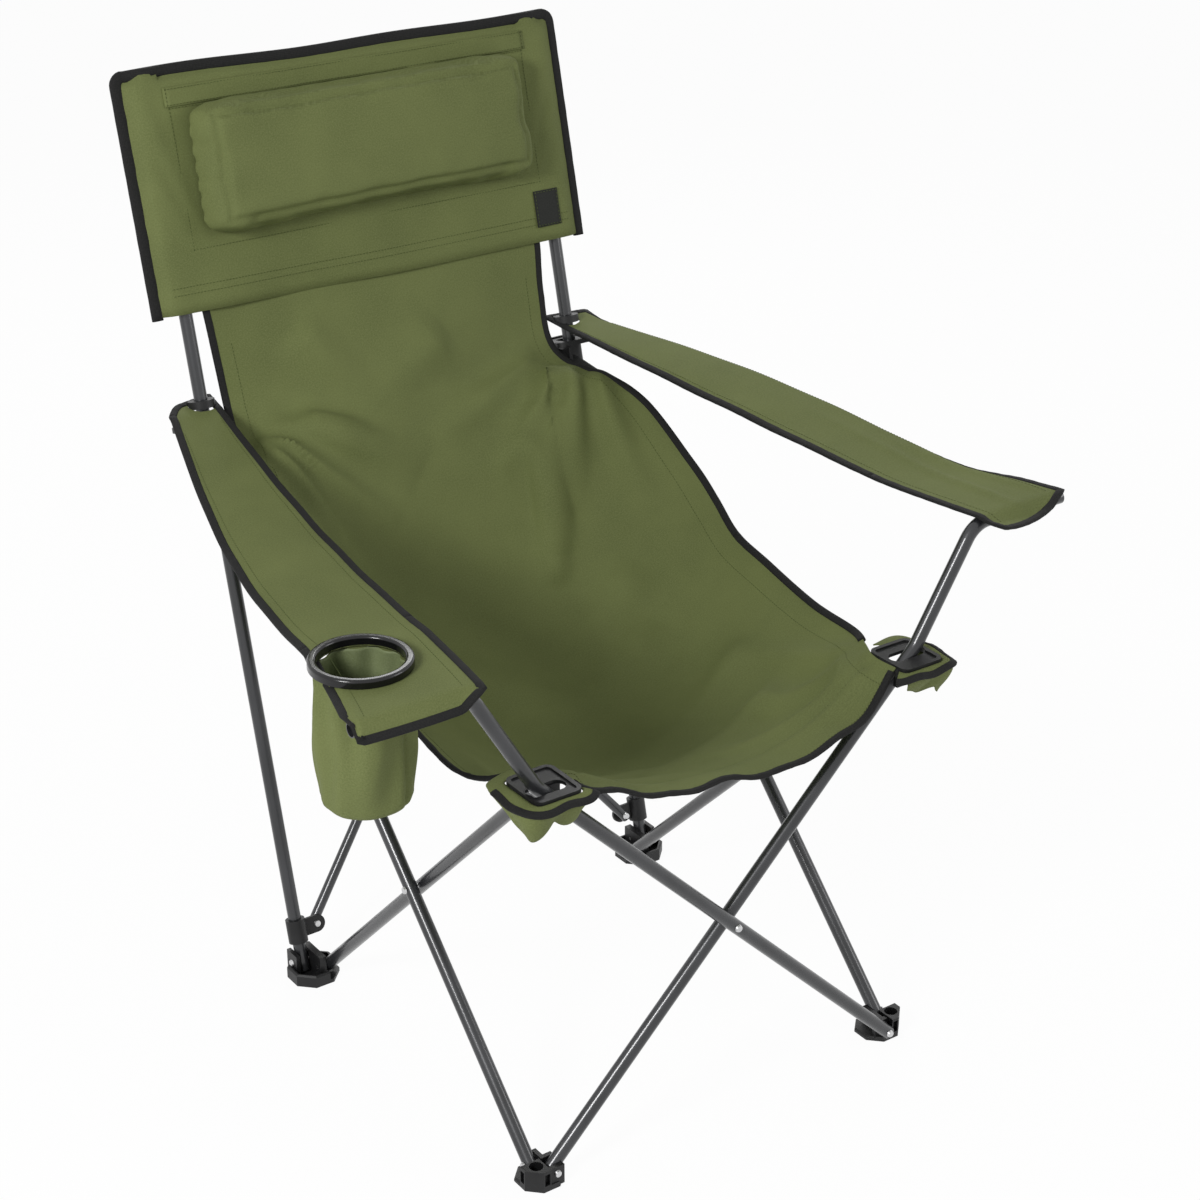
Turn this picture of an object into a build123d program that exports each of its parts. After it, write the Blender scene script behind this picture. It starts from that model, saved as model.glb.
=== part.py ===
# Folding camp chair: four crossed tube pairs, sliding back uprights and a slung cloth seat.
import os
from math import atan2, cos, degrees, hypot, radians, sin, sqrt, tan
from build123d import *

os.makedirs("parts", exist_ok=True)

# Frame of the model: millimetres, +Z up, the chair faces -Y, floor at Z = 0
leg_centre_y = -117.9

# Tubes
tube_d = 16.0
tube_wall = 1.2
back_tube_d = 12.7
tube_end = 6.0
pair_gap = 1.0
running_gap = 0.5

# Rivets
pin_d = 5.0
pin_clearance = 0.05
head_d = 9.0
head_height = 2.2
head_taper = 20
seat_gap = 0.1

# Crossed legs: pin spacing is square in plan and the tubes stand at 45 degrees when open
pin_half = 235.5
pin_height = 16.0
front_plane_out = 18.5
side_plane_out = 15.5

# Back uprights
upright_x = 260.0
upright_pivot_height = 20.0
upright_slot_travel = 4.8
upright_slot_play = 1.7
upright_below_pivot = 13.0
long_side_rear = 392.0
side_pin_before_upright = 20.0

# Arm posts: the front tubes go on above the seat corner
post_bend_rise = 26.0
post_lean = 31.0
post_top_height = 643.0
post_bar_end = 470.0
post_bend_radius = 34.0

# Feet
foot_width = 52.0
rear_foot_width = 60.0
foot_base = 5.0
foot_height = 27.0
foot_wall = 5.4
foot_socket_d = 16.0
foot_socket_wall = 2.5
foot_chamfer = 2.0
foot_past_pin = 9.0
foot_plate_out = 9.5
foot_window_edge = 1.5
foot_window_depth = 5.0
foot_window_above = 3.0
foot_top = 4.0
rear_foot_height = 34.0
rear_rim = 4.0
rear_rim_height = 16.0
rear_plate_in = 10.0
rear_plate_back = 12.0
rear_wall_past_pin = 12.0

# Sliding collars and rear brackets on the uprights
collar_d = 24.0
collar_from = 24.0
collar_length = 30.0
lug_thickness = 4.0
lug_pin_in = 28.0
lug_radius = 11.0
back_pin_above = 1.4
lug_gap = 0.3
bracket_wall = 4.4
bracket_past_pin = 10.0
guide_gap = 15.0
guide_height = 24.0
guide_play = 0.6
guide_corner = 10.0

# Seat corner plates
plate_width = 58.0
plate_depth = 64.0
plate_thickness = 4.0
plate_rim = 2.0
plate_rim_width = 5.0
plate_above_pin = 16.0
plate_out = 11.0
plate_front = 20.5
left_plate_forward = 8.0
plate_corner = 10.0
plate_hole_play = 2.0
web = 5.0
web_past_pin = 10.0

# Cloth
cloth = 2.5
cloth_gap = 0.3
front_dip = 75.0
corner_dip = 90.0
bucket_drop = 221.0
bucket_rise = 148.0
back_bow = 26.0
upper_bow = 20.0
upper_in_front = 6.0
corner_narrow = 16.0
side_narrow = 4.0
sling_side_out = 26.0
back_side_in = 12.0
sling_top_in_sleeve = 33.0
steps_between = 3
corner_flap_drop = 50.0
corner_flap_out = 16.0

# Headrest, measured along the uprights
sleeve_from = 812.0
sleeve_to = 1087.0
sleeve_past_upright = 31.0
sleeve_depth = 28.0
pillow_length = 464.0
pillow_height = 166.0
pillow_depth = 45.0
pillow_middle = 971.0
label_width = 35.0
label_height = 45.0
label_from = 826.0
label_from_edge = 53.0
label_thickness = 1.0
pillow_corner = 14.0
pillow_edge_draw = 30.0

# Arms
arm_above_bracket = 32.0
arm_rear_out = 21.0
arm_rear_half = 27.0
arm_past_upright = 19.0
arm_level_share = 0.24
arm_sag = 12.0
arm_flare_power = 0.85
arm_panels = 16
arm_past_bar = 27.0
arm_past_tip = 14.0
arm_left_width = 152.0
arm_right_width = 134.0
grommet_d = 32.0
grommet_height = 9.0
grommet_play = 2.0

# Cup holder in the left arm
cup_x = -403.0
cup_behind_post = 93.0
cup_ring_d = 106.0
cup_bore_d = 88.0
cup_ring_height = 9.0
cup_ring_round = 3.0
cup_depth = 150.0
pocket_d = 104.0
pocket_round = 16.0

# Places worked out from the sizes above
pin_r = pin_d / 2
tube_r = tube_d / 2
back_tube_r = back_tube_d / 2
pair_offset = tube_d + pair_gap
front_pin_y = leg_centre_y - pin_half
rear_pin_y = leg_centre_y + pin_half
top_pin_height = pin_height + 2 * pin_half
cross_height = pin_height + pin_half
front_inner_y = front_pin_y - front_plane_out
front_outer_y = front_inner_y - pair_offset
side_outer_x = pin_half + side_plane_out
side_inner_x = side_outer_x - pair_offset
long_pin_y = leg_centre_y + long_side_rear
long_pin_z = cross_height + long_side_rear
lean = atan2(long_pin_y - rear_pin_y, long_pin_z - pin_height)
pivot_rise = upright_pivot_height - pin_height
pivot_y = rear_pin_y + side_pin_before_upright / cos(lean) + pivot_rise * tan(lean)
long_pin_along = (long_pin_y - pivot_y) * sin(lean) + (long_pin_z - upright_pivot_height) * cos(lean)
sleeve_half = upright_x + tube_r + sleeve_past_upright
guide_from = long_pin_along + hypot(tube_r, tube_end) + running_gap
guide_to = guide_from + guide_height
arm_rear_along = guide_to + arm_above_bracket
lug_x = upright_x - lug_pin_in
lug_along = collar_from + collar_length / 2
back_pin_along = long_pin_along + back_pin_above
back_tube_offset = lug_thickness / 2 + lug_gap + back_tube_r
upright_length = sleeve_to - cloth - cloth_gap
plate_z = top_pin_height + plate_above_pin


def back_point(x, rearward, along):
    """Point given by its place across, behind and along the leaning uprights."""
    y = pivot_y + along * sin(lean) + rearward * cos(lean)
    z = upright_pivot_height + along * cos(lean) - rearward * sin(lean)
    return Vector(x, y, z)


def back_plane(along, x=0.0, rearward=0.0):
    """Plane square to the uprights: its Y axis points to the rear."""
    return Plane(origin=back_point(x, rearward, along), x_dir=(1, 0, 0), z_dir=(0, sin(lean), cos(lean)))


def finish(builder, name):
    """Label one finished piece and write it."""
    builder.part.label = name
    export_step(builder.part, f"parts/{name}.step")


def drill(points, axis, depth):
    """Cut running holes for rivets in the piece being built."""
    for point in points:
        with BuildSketch(Plane(origin=point, z_dir=axis)) as hole:
            Circle(pin_r + pin_clearance)
        extrude(hole.sketch, amount=depth, both=True, mode=Mode.SUBTRACT)


def straight_tube(name, first_pin, last_pin, outer_d, pin_axis, more_pins=()):
    """Tube that reaches a little past the rivet at each end."""
    along = (last_pin - first_pin).normalized()
    start = first_pin - along * tube_end
    with BuildPart() as tube:
        with BuildSketch(Plane(origin=start, z_dir=along)):
            Circle(outer_d / 2)
            Circle(outer_d / 2 - tube_wall, mode=Mode.SUBTRACT)
        extrude(amount=(last_pin - first_pin).length + 2 * tube_end)
        drill((first_pin, last_pin, *more_pins), pin_axis, outer_d)
    finish(tube, name)


def rivets(name, ends):
    """Group of rivets: each runs from one head to the other, heads standing outside both points."""
    with BuildPart() as group:
        for first, last, far_head in ends:
            along = last - first
            with BuildSketch(Plane(origin=first, z_dir=along)):
                Circle(pin_r)
            extrude(amount=along.length)
            with BuildSketch(Plane(origin=first, z_dir=-along)):
                Circle(head_d / 2)
            extrude(amount=head_height, taper=head_taper)
            if far_head:
                with BuildSketch(Plane(origin=last, z_dir=along)):
                    Circle(head_d / 2)
                extrude(amount=head_height, taper=head_taper)
    finish(group, name)


def block(x0, x1, y0, y1, z0, z1, mode=Mode.ADD):
    """Box between two corners, given in any order across and along."""
    with BuildSketch(Plane.XY.offset(z0)) as base:
        with Locations(((x0 + x1) / 2, (y0 + y1) / 2)):
            Rectangle(abs(x1 - x0), abs(y1 - y0))
    extrude(base.sketch, amount=z1 - z0, mode=mode)


def foot_plate(x, y, width, height):
    """Eight-sided floor plate with a chamfered upper edge."""
    with BuildSketch(Plane.XY) as outline:
        with Locations((x, y)):
            RegularPolygon(width / 2, 8, major_radius=False, rotation=22.5)
    extrude(outline.sketch, amount=height)
    chamfer(faces().sort_by(Axis.Z)[-1].edges(), foot_chamfer)


# Front crossed tubes, each with the arm post of the side that it leads to
def front_tube(name, sx, plane_y):
    low_pin = Vector(-sx * pin_half, plane_y, pin_height)
    top_pin = Vector(sx * pin_half, plane_y, top_pin_height)
    bend = top_pin + Vector(sx * post_bend_rise, 0, post_bend_rise)
    rise = post_top_height - bend.Z
    corner = bend + Vector(sx * rise * tan(radians(post_lean)), 0, rise)
    bar_end = Vector(sx * post_bar_end, plane_y, post_top_height)
    start = low_pin - (top_pin - low_pin).normalized() * tube_end
    with BuildPart() as tube:
        with BuildLine() as path:
            FilletPolyline(start, bend, corner, bar_end, radius=post_bend_radius)
        with BuildSketch(Plane(origin=start, z_dir=path.line % 0)):
            Circle(tube_r)
            Circle(tube_r - tube_wall, mode=Mode.SUBTRACT)
        sweep()
        drill((low_pin, top_pin, Vector(0, plane_y, cross_height)), (0, 1, 0), tube_d)
    finish(tube, name)


front_tube("front_tube_to_right", 1, front_inner_y)
front_tube("front_tube_to_left", -1, front_outer_y)
cross_front = Vector(0, front_outer_y - tube_r - seat_gap, cross_height)
cross_rear = Vector(0, front_inner_y + tube_r + seat_gap, cross_height)
rivets("front_cross_rivet", [(cross_front, cross_rear, True)])

# Side crossed tubes: the long ones rise to the rear, the short ones to the front
for side, sx in (("left", -1), ("right", 1)):
    low_front = Vector(sx * side_outer_x, front_pin_y, pin_height)
    high_rear = Vector(sx * side_outer_x, long_pin_y, long_pin_z)
    low_rear = Vector(sx * side_inner_x, rear_pin_y, pin_height)
    high_front = Vector(sx * side_inner_x, front_pin_y, top_pin_height)
    middle = Vector(sx * side_outer_x, leg_centre_y, cross_height)
    straight_tube(f"side_tube_long_{side}", low_front, high_rear, tube_d, (1, 0, 0), [middle])
    middle_inner = Vector(sx * side_inner_x, leg_centre_y, cross_height)
    straight_tube(f"side_tube_short_{side}", low_rear, high_front, tube_d, (1, 0, 0), [middle_inner])
    outside = middle + Vector(sx * (tube_r + seat_gap), 0, 0)
    inside = middle_inner - Vector(sx * (tube_r + seat_gap), 0, 0)
    rivets(f"side_cross_rivet_{side}", [(outside, inside, True)])

# Front feet: floor plate, eight-sided corner with a socket and windows, and a wall beside each tube
for side, sx, tube_y in (("left", -1, front_inner_y), ("right", 1, front_outer_y)):
    wall_gap = tube_r + running_gap
    foot_out = pin_half + foot_plate_out
    foot_y = front_pin_y - foot_plate_out
    flat_half = foot_width / 2 * tan(radians(22.5))
    socket_in = pin_half + hypot(tube_r, tube_end) + running_gap
    socket_back = front_pin_y - (socket_in - pin_half)
    socket_step = (foot_width / 2 - foot_socket_wall - foot_socket_d / 2) / sqrt(2)
    window_low = foot_base + foot_window_above
    window_top = foot_height - foot_top
    side_wall_in = side_outer_x - wall_gap - foot_wall
    rear_wall_y = tube_y + wall_gap
    side_wall_back = front_pin_y + foot_past_pin
    wall_inner = pin_half - foot_past_pin
    wall_top = pin_height + foot_past_pin
    with BuildPart() as foot:
        foot_plate(sx * foot_out, foot_y, foot_width, foot_base)
        with BuildSketch(Plane.XY) as corner_block:
            with Locations((sx * foot_out, foot_y)):
                RegularPolygon(foot_width / 2, 8, major_radius=False, rotation=22.5)
            with Locations((sx * (socket_in + foot_width / 2), socket_back - foot_width / 2)):
                Rectangle(foot_width, foot_width, mode=Mode.INTERSECT)
        extrude(corner_block.sketch, amount=foot_height)
        window_x = foot_out + foot_width / 2
        window_y = foot_y - foot_width / 2
        block(sx * (window_x - foot_window_depth), sx * window_x, foot_y - flat_half + foot_window_edge,
              socket_back - foot_window_edge, window_low, window_top, Mode.SUBTRACT)
        block(sx * (socket_in + foot_window_edge), sx * (foot_out + flat_half - foot_window_edge),
              window_y, window_y + foot_window_depth, window_low, window_top, Mode.SUBTRACT)
        block(sx * side_wall_in, sx * (side_wall_in + foot_wall), rear_wall_y, side_wall_back, 0, wall_top)
        block(sx * wall_inner, sx * (side_wall_in + foot_wall), rear_wall_y, rear_wall_y + foot_wall, 0, wall_top)
        if side == "left":
            front_wall_y = tube_y - wall_gap - foot_wall
            block(sx * wall_inner, sx * socket_in, front_wall_y, front_wall_y + foot_wall, 0, wall_top)
        else:
            block(sx * wall_inner, sx * socket_in, rear_wall_y, rear_wall_y + foot_wall, 0, wall_top)
        with BuildSketch(Plane.XY.offset(foot_height)):
            with Locations((sx * (foot_out + socket_step), foot_y - socket_step)):
                Circle(foot_socket_d / 2)
        extrude(amount=foot_base - foot_height, mode=Mode.SUBTRACT)
        drill([Vector(sx * pin_half, tube_y, pin_height)], (0, 1, 0), foot_width)
        drill([Vector(sx * side_outer_x, front_pin_y, pin_height)], (1, 0, 0), foot_width / 2)
    finish(foot, f"foot_front_{side}")
    if side == "left":
        front_from = front_wall_y - seat_gap
    else:
        front_from = tube_y - tube_r - seat_gap
    front_pin = Vector(sx * pin_half, front_from, pin_height)
    front_pin_end = Vector(sx * pin_half, rear_wall_y + foot_wall, pin_height)
    side_pin = Vector(sx * (side_outer_x + tube_r + seat_gap), front_pin_y, pin_height)
    side_pin_end = Vector(sx * side_wall_in, front_pin_y, pin_height)
    rivets(f"foot_rivets_front_{side}", [(front_pin, front_pin_end, False), (side_pin, side_pin_end, False)])

# Rear feet: a rimmed tray with two walls for the upright, the inner one also holds the short side tube
for side, sx in (("left", -1), ("right", 1)):
    inner_wall_in = side_inner_x + tube_r + running_gap
    inner_wall_out = upright_x - tube_r - running_gap
    outer_wall_in = upright_x + tube_r + running_gap
    outer_wall_out = outer_wall_in + foot_wall
    wall_front = rear_pin_y - foot_past_pin
    wall_back = pivot_y + rear_wall_past_pin
    with BuildPart() as foot:
        rear_foot_x = sx * (upright_x - rear_plate_in)
        rear_foot_y = rear_pin_y + rear_plate_back
        foot_plate(rear_foot_x, rear_foot_y, rear_foot_width, rear_rim_height)
        with BuildSketch(Plane.XY.offset(foot_base)) as tray:
            with Locations((rear_foot_x, rear_foot_y)):
                RegularPolygon(rear_foot_width / 2 - rear_rim, 8, major_radius=False, rotation=22.5)
        extrude(tray.sketch, amount=rear_rim_height, mode=Mode.SUBTRACT)
        way_in_back = rear_pin_y + hypot(tube_r, tube_end) + running_gap
        block(rear_foot_x - sx * rear_foot_width / 2, sx * inner_wall_in, rear_foot_y - rear_foot_width / 2,
              way_in_back, foot_base, rear_rim_height, Mode.SUBTRACT)
        block(sx * inner_wall_in, sx * inner_wall_out, wall_front, wall_back, 0, rear_foot_height)
        block(sx * outer_wall_in, sx * outer_wall_out, pivot_y - rear_wall_past_pin, wall_back, 0, rear_foot_height)
        drill([Vector(sx * upright_x, pivot_y, upright_pivot_height)], (1, 0, 0), rear_foot_width)
        drill([Vector(sx * side_inner_x, rear_pin_y, pin_height)], (1, 0, 0), rear_foot_width / 2)
    finish(foot, f"foot_rear_{side}")
    upright_pin = Vector(sx * (outer_wall_out + seat_gap), pivot_y, upright_pivot_height)
    upright_pin_end = Vector(sx * inner_wall_in, pivot_y, upright_pivot_height)
    short_pin = Vector(sx * (side_inner_x - tube_r - seat_gap), rear_pin_y, pin_height)
    short_pin_end = Vector(sx * inner_wall_out, rear_pin_y, pin_height)
    rivets(f"foot_rivets_rear_{side}", [(upright_pin, upright_pin_end, False), (short_pin, short_pin_end, False)])

# Uprights
for side, sx in (("left", -1), ("right", 1)):
    with BuildPart() as upright:
        with BuildSketch(back_plane(-upright_below_pivot, sx * upright_x)):
            Circle(tube_r)
            Circle(tube_r - tube_wall, mode=Mode.SUBTRACT)
        extrude(amount=upright_length + upright_below_pivot)
        slot_middle = back_point(sx * upright_x, 0, -upright_slot_travel / 2)
        with BuildSketch(Plane(origin=slot_middle, x_dir=(0, sin(lean), cos(lean)), z_dir=(1, 0, 0))):
            SlotCenterToCenter(upright_slot_travel, pin_d + 2 * upright_slot_play)
        extrude(amount=tube_d, both=True, mode=Mode.SUBTRACT)
    finish(upright, f"upright_{side}")

# Collars that slide on the uprights and carry the lower ends of the back crossed tubes
rearward_axis = Vector(0, cos(lean), -sin(lean))
for side, sx in (("left", -1), ("right", 1)):
    tube_side = 1 if side == "left" else -1
    lug_point = back_point(sx * lug_x, 0, lug_along)
    with BuildPart() as collar:
        with BuildSketch(back_plane(collar_from, sx * upright_x)):
            Circle(collar_d / 2)
        extrude(amount=collar_length)
        lug_sketch_plane = Plane(origin=lug_point, x_dir=(1, 0, 0), z_dir=rearward_axis)
        with BuildSketch(lug_sketch_plane):
            Circle(lug_radius)
            with Locations((sx * lug_pin_in / 2, 0)):
                Rectangle(lug_pin_in, 2 * lug_radius)
        extrude(amount=lug_thickness / 2, both=True)
        with BuildSketch(back_plane(collar_from, sx * upright_x)):
            Circle(tube_r + seat_gap)
        extrude(amount=collar_length, mode=Mode.SUBTRACT)
        drill([lug_point], rearward_axis, lug_thickness)
    finish(collar, f"back_collar_{side}")
    lug_face = back_point(sx * lug_x, -tube_side * (lug_thickness / 2 + seat_gap), lug_along)
    tube_face = back_point(sx * lug_x, tube_side * (back_tube_offset + back_tube_r + seat_gap), lug_along)
    rivets(f"back_collar_rivet_{side}", [(tube_face, lug_face, True)])

# Back crossed tubes: one passes behind the lugs and the other in front
for side, sx, behind in (("right", 1, 1), ("left", -1, -1)):
    offset_back = behind * back_tube_offset
    low = back_point(-sx * lug_x, offset_back, lug_along)
    high = back_point(sx * lug_x, offset_back, back_pin_along)
    centre = back_point(0, offset_back, (lug_along + back_pin_along) / 2)
    straight_tube(f"back_tube_to_{side}", low, high, back_tube_d, rearward_axis, [centre])
    skin = back_tube_r + seat_gap
    high_rear = high + rearward_axis * skin
    high_front = high - rearward_axis * back_tube_r
    outer_face = centre + rearward_axis * (behind * skin)
    between = 2 * (back_tube_offset - back_tube_r) - lug_gap if behind > 0 else 0.0
    inner_face = centre - rearward_axis * (behind * (back_tube_r + between))
    rivets(f"back_tube_rivets_{side}", [(high_rear, high_front, False), (outer_face, inner_face, False)])

def corner_plate(base_plane, hole_length, hole_width, hole_rotation, hole_shift):
    """Seat corner plate with a raised rim and an oval hole for the tube."""
    with BuildSketch(base_plane) as floor:
        RectangleRounded(plate_width, plate_depth, plate_corner)
    extrude(floor.sketch, amount=plate_thickness)
    with BuildSketch(base_plane.offset(plate_thickness)) as rim:
        RectangleRounded(plate_width, plate_depth, plate_corner)
        RectangleRounded(plate_width - 2 * plate_rim_width, plate_depth - 2 * plate_rim_width,
                         plate_corner / 2, mode=Mode.SUBTRACT)
    extrude(rim.sketch, amount=plate_rim)
    with BuildSketch(base_plane) as hole:
        with Locations(hole_shift):
            SlotOverall(hole_length, hole_width, rotation=hole_rotation)
    extrude(hole.sketch, amount=plate_thickness + plate_rim, mode=Mode.SUBTRACT)


# Rear brackets: an oval guide round the upright, a cheek for the long side tube, a lug and the seat plate
guide_slot = tube_d + 2 * guide_play + guide_gap
for side, sx in (("left", -1), ("right", 1)):
    cheek_out = side_outer_x - tube_r - running_gap
    cheek_in = cheek_out - bracket_wall
    cheek_x = sx * (cheek_in + cheek_out) / 2
    guide_out = upright_x + tube_r + guide_play + bracket_wall
    guide_front = -(tube_r + guide_play + bracket_wall)
    guide_back = tube_r + guide_play + guide_gap + bracket_wall
    lug_back = back_tube_offset * sx - back_tube_r - lug_gap
    cheek_front = -(side_pin_before_upright + bracket_past_pin)
    cheek_back = -(back_tube_offset + back_tube_r + running_gap)
    lug_front = cheek_back - lug_thickness
    lug_inner = lug_x - lug_radius
    with BuildPart() as bracket:
        with BuildSketch(back_plane(guide_from)):
            with Locations((sx * (cheek_in + guide_out) / 2, (guide_front + guide_back) / 2)):
                RectangleRounded(guide_out - cheek_in, guide_back - guide_front, guide_corner)
            with Locations((cheek_x, cheek_front / 2)):
                Rectangle(bracket_wall, -cheek_front)
        extrude(amount=guide_height)
        with BuildSketch(back_plane(long_pin_along - bracket_past_pin)):
            with Locations((cheek_x, (cheek_front + cheek_back) / 2)):
                Rectangle(bracket_wall, cheek_back - cheek_front)
        extrude(amount=guide_from - long_pin_along + bracket_past_pin)
        with BuildSketch(back_plane(back_pin_along - lug_radius)):
            with Locations((sx * (lug_inner + cheek_out) / 2, (lug_front + lug_back) / 2)):
                Rectangle(cheek_out - lug_inner, lug_back - lug_front)
        extrude(amount=2 * lug_radius)
        with BuildSketch(back_plane(guide_from)):
            with Locations((sx * upright_x, guide_gap / 2)):
                SlotOverall(guide_slot, tube_d + 2 * guide_play, rotation=90)
        extrude(amount=guide_height, mode=Mode.SUBTRACT)
        corner_plate(back_plane(guide_to, sx * upright_x, guide_gap / 2), guide_slot, tube_d + 2 * guide_play,
                     90, (0, 0))
        drill([back_point(sx * cheek_out, -side_pin_before_upright, long_pin_along)], (1, 0, 0), 2 * bracket_wall)
    finish(bracket, f"rear_bracket_{side}")
    pin_head = Vector(sx * (side_outer_x + tube_r + seat_gap), long_pin_y, long_pin_z)
    pin_tail = Vector(sx * cheek_in, long_pin_y, long_pin_z)
    rivets(f"rear_bracket_rivet_{side}", [(pin_head, pin_tail, False)])

# Front brackets under the seat corners: a plate and a web beside each tube
plate_x = pin_half + plate_out
plate_y = front_pin_y - plate_front
hole_near = pin_half - tube_r - plate_hole_play
hole_far = pin_half + plate_above_pin + plate_thickness + plate_rim + tube_r * sqrt(2) + 2 * plate_hole_play
web_in = side_inner_x - tube_r - running_gap
web_front = front_pin_y - tube_end / sqrt(2)
for side, sx, tube_y in (("left", -1, front_outer_y), ("right", 1, front_inner_y)):
    side_plate_y = plate_y - (left_plate_forward if side == "left" else 0.0)
    wall_near = tube_y - sx * (tube_r + running_gap)
    wall_far = wall_near - sx * web
    with BuildPart() as bracket:
        block(sx * (pin_half - web_past_pin), sx * (pin_half + web_past_pin), wall_near, wall_far,
              top_pin_height - web_past_pin, plate_z)
        block(sx * (web_in - web), sx * web_in, web_front, front_pin_y + web_past_pin,
              top_pin_height - web_past_pin, plate_z)
        corner_plate(Plane(origin=(sx * plate_x, side_plate_y, plate_z)), hole_far - hole_near,
                     tube_d + 2 * plate_hole_play, 0,
                     (((hole_near + hole_far) / 2 - plate_x) * sx, tube_y - side_plate_y))
        drill([Vector(sx * pin_half, tube_y, top_pin_height)], (0, 1, 0), tube_d + web)
        drill([Vector(sx * side_inner_x, front_pin_y, top_pin_height)], (1, 0, 0), tube_d)
    finish(bracket, f"front_bracket_{side}")
    front_face = min(wall_far, tube_y - tube_r) - seat_gap
    rear_face = max(wall_far, tube_y + tube_r)
    wall_head = Vector(sx * pin_half, front_face, top_pin_height)
    wall_tail = Vector(sx * pin_half, rear_face, top_pin_height)
    web_head = Vector(sx * (side_inner_x + tube_r + seat_gap), front_pin_y, top_pin_height)
    web_tail = Vector(sx * (web_in - web), front_pin_y, top_pin_height)
    rivets(f"front_bracket_rivets_{side}", [(wall_head, wall_tail, False), (web_head, web_tail, False)])


# Sling: each station has its middle on the centre line and its edges raised square to the cloth
front_half = plate_x - plate_width / 2 - cloth_gap
rear_half = upright_x - plate_width / 2 - 3 * cloth_gap
back_half = upright_x - tube_r - back_side_in
seat_half = pin_half + sling_side_out
corner_z = plate_z + plate_thickness - seat_gap
corner_y = plate_y + plate_depth / 2 - plate_corner
rear_level = guide_to + plate_thickness / 2
rear_corner = back_point(0, -(plate_depth - guide_gap) / 2 + plate_corner, rear_level)
back_tilt = 90 - degrees(lean)


def hung_station(half_width, share, drop_share, rise_share, tilt):
    """Station below the straight line from the front corner to the rear corner."""
    y = corner_y + (rear_corner.Y - corner_y) * share
    z = corner_z + (rear_corner.Z - corner_z) * share - bucket_drop * drop_share
    return half_width, y, z, bucket_rise * rise_share, tilt


def back_station(half_width, along, in_front, bow):
    """Station measured on the leaning uprights, with its middle bowed to the front."""
    middle = back_point(0, -in_front - bow, along)
    return half_width, middle.Y, middle.Z, -bow, back_tilt


def eased(stations):
    """Add smooth in-between stations, so that straight panels follow a curve."""
    rows = []
    padded = [stations[0], *stations, stations[-1]]
    for group in zip(padded, padded[1:], padded[2:], padded[3:]):
        for step in range(steps_between):
            t = step / steps_between
            rows.append([0.5 * (2 * b + (c - a) * t + (2 * a - 5 * b + 4 * c - d) * t**2
                                + (3 * b - a - 3 * c + d) * t**3) for a, b, c, d in zip(*group)])
    return [*rows, stations[-1]]


def sling(name, stations):
    """Loft the cloth through its stations."""
    with BuildPart() as panel:
        for half_width, middle_y, middle_z, rise, tilt in eased(stations):
            up = Vector(0, -sin(radians(tilt)), cos(radians(tilt)))
            across = Vector(1, 0, 0)
            with BuildSketch(Plane(origin=(0, middle_y, middle_z), x_dir=across, z_dir=across.cross(up))):
                with BuildLine():
                    ThreePointArc((-half_width, rise), (0, 0), (half_width, rise))
                    Line((half_width, rise), (half_width, rise - cloth))
                    ThreePointArc((half_width, rise - cloth), (0, -cloth), (-half_width, rise - cloth))
                    Line((-half_width, rise - cloth), (-half_width, rise))
                make_face()
        loft(ruled=True)
    finish(panel, name)


sleeve_inside = sleeve_depth / 2 - cloth
top_bow = cloth
low_station = hung_station(seat_half, 0.576, 1.0, 1.0, 20)
sling("sling_back", [
    back_station(back_half, sleeve_from + sling_top_in_sleeve, sleeve_inside - cloth_gap - top_bow, top_bow),
    back_station(back_half, sleeve_from - 2 * cloth, sleeve_inside - cloth_gap - top_bow, top_bow),
    back_station(back_half, (sleeve_from + rear_level) / 2, upper_in_front, upper_bow),
    (rear_half, rear_corner.Y - back_bow * cos(lean), rear_corner.Z + back_bow * sin(lean), -back_bow, back_tilt),
    hung_station(rear_half, 0.924, 0.086, 0.169, 60),
    hung_station(seat_half - side_narrow, 0.888, 0.262, 0.486, 62),
    hung_station(seat_half, 0.81, 0.602, 0.845, 55),
    hung_station(seat_half, 0.701, 0.878, 1.0, 36),
    low_station,
])
sling("sling_seat", [
    (low_station[0], low_station[1] - 2 * cloth_gap, *low_station[2:]),
    hung_station(seat_half, 0.428, 0.986, 0.986, 8),
    hung_station(seat_half - side_narrow, 0.256, 0.814, 0.838, 3),
    hung_station(front_half + corner_narrow, 0.108, 0.597, 0.689, 0),
    (front_half, corner_y, corner_z - corner_dip, corner_dip, 0),
    (front_half, plate_y - plate_depth / 2 + plate_corner, corner_z - front_dip, front_dip, -4),
])

# Cloth flaps that hang from the front edge of the seat plates
for side, sx in (("left", -1), ("right", 1)):
    flap_y = plate_y - plate_depth / 2 - cloth_gap - (left_plate_forward if side == "left" else 0.0)
    with BuildPart() as flap:
        with BuildSketch(Plane(origin=(0, flap_y, 0), x_dir=(1, 0, 0), z_dir=(0, -1, 0))):
            with BuildLine():
                flap_top = plate_z + plate_thickness
                inner_top = (sx * (front_half + plate_corner), flap_top)
                outer_top = (sx * (plate_x + plate_width / 2 + corner_flap_out), flap_top)
                outer_low = (sx * (plate_x + corner_flap_out), flap_top - corner_flap_drop)
                inner_low = (sx * (front_half + plate_corner), flap_top - corner_flap_drop)
                Polyline(inner_top, outer_top, outer_low, inner_low, close=True)
            make_face()
        extrude(amount=cloth)
    finish(flap, f"corner_flap_{side}")

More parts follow.
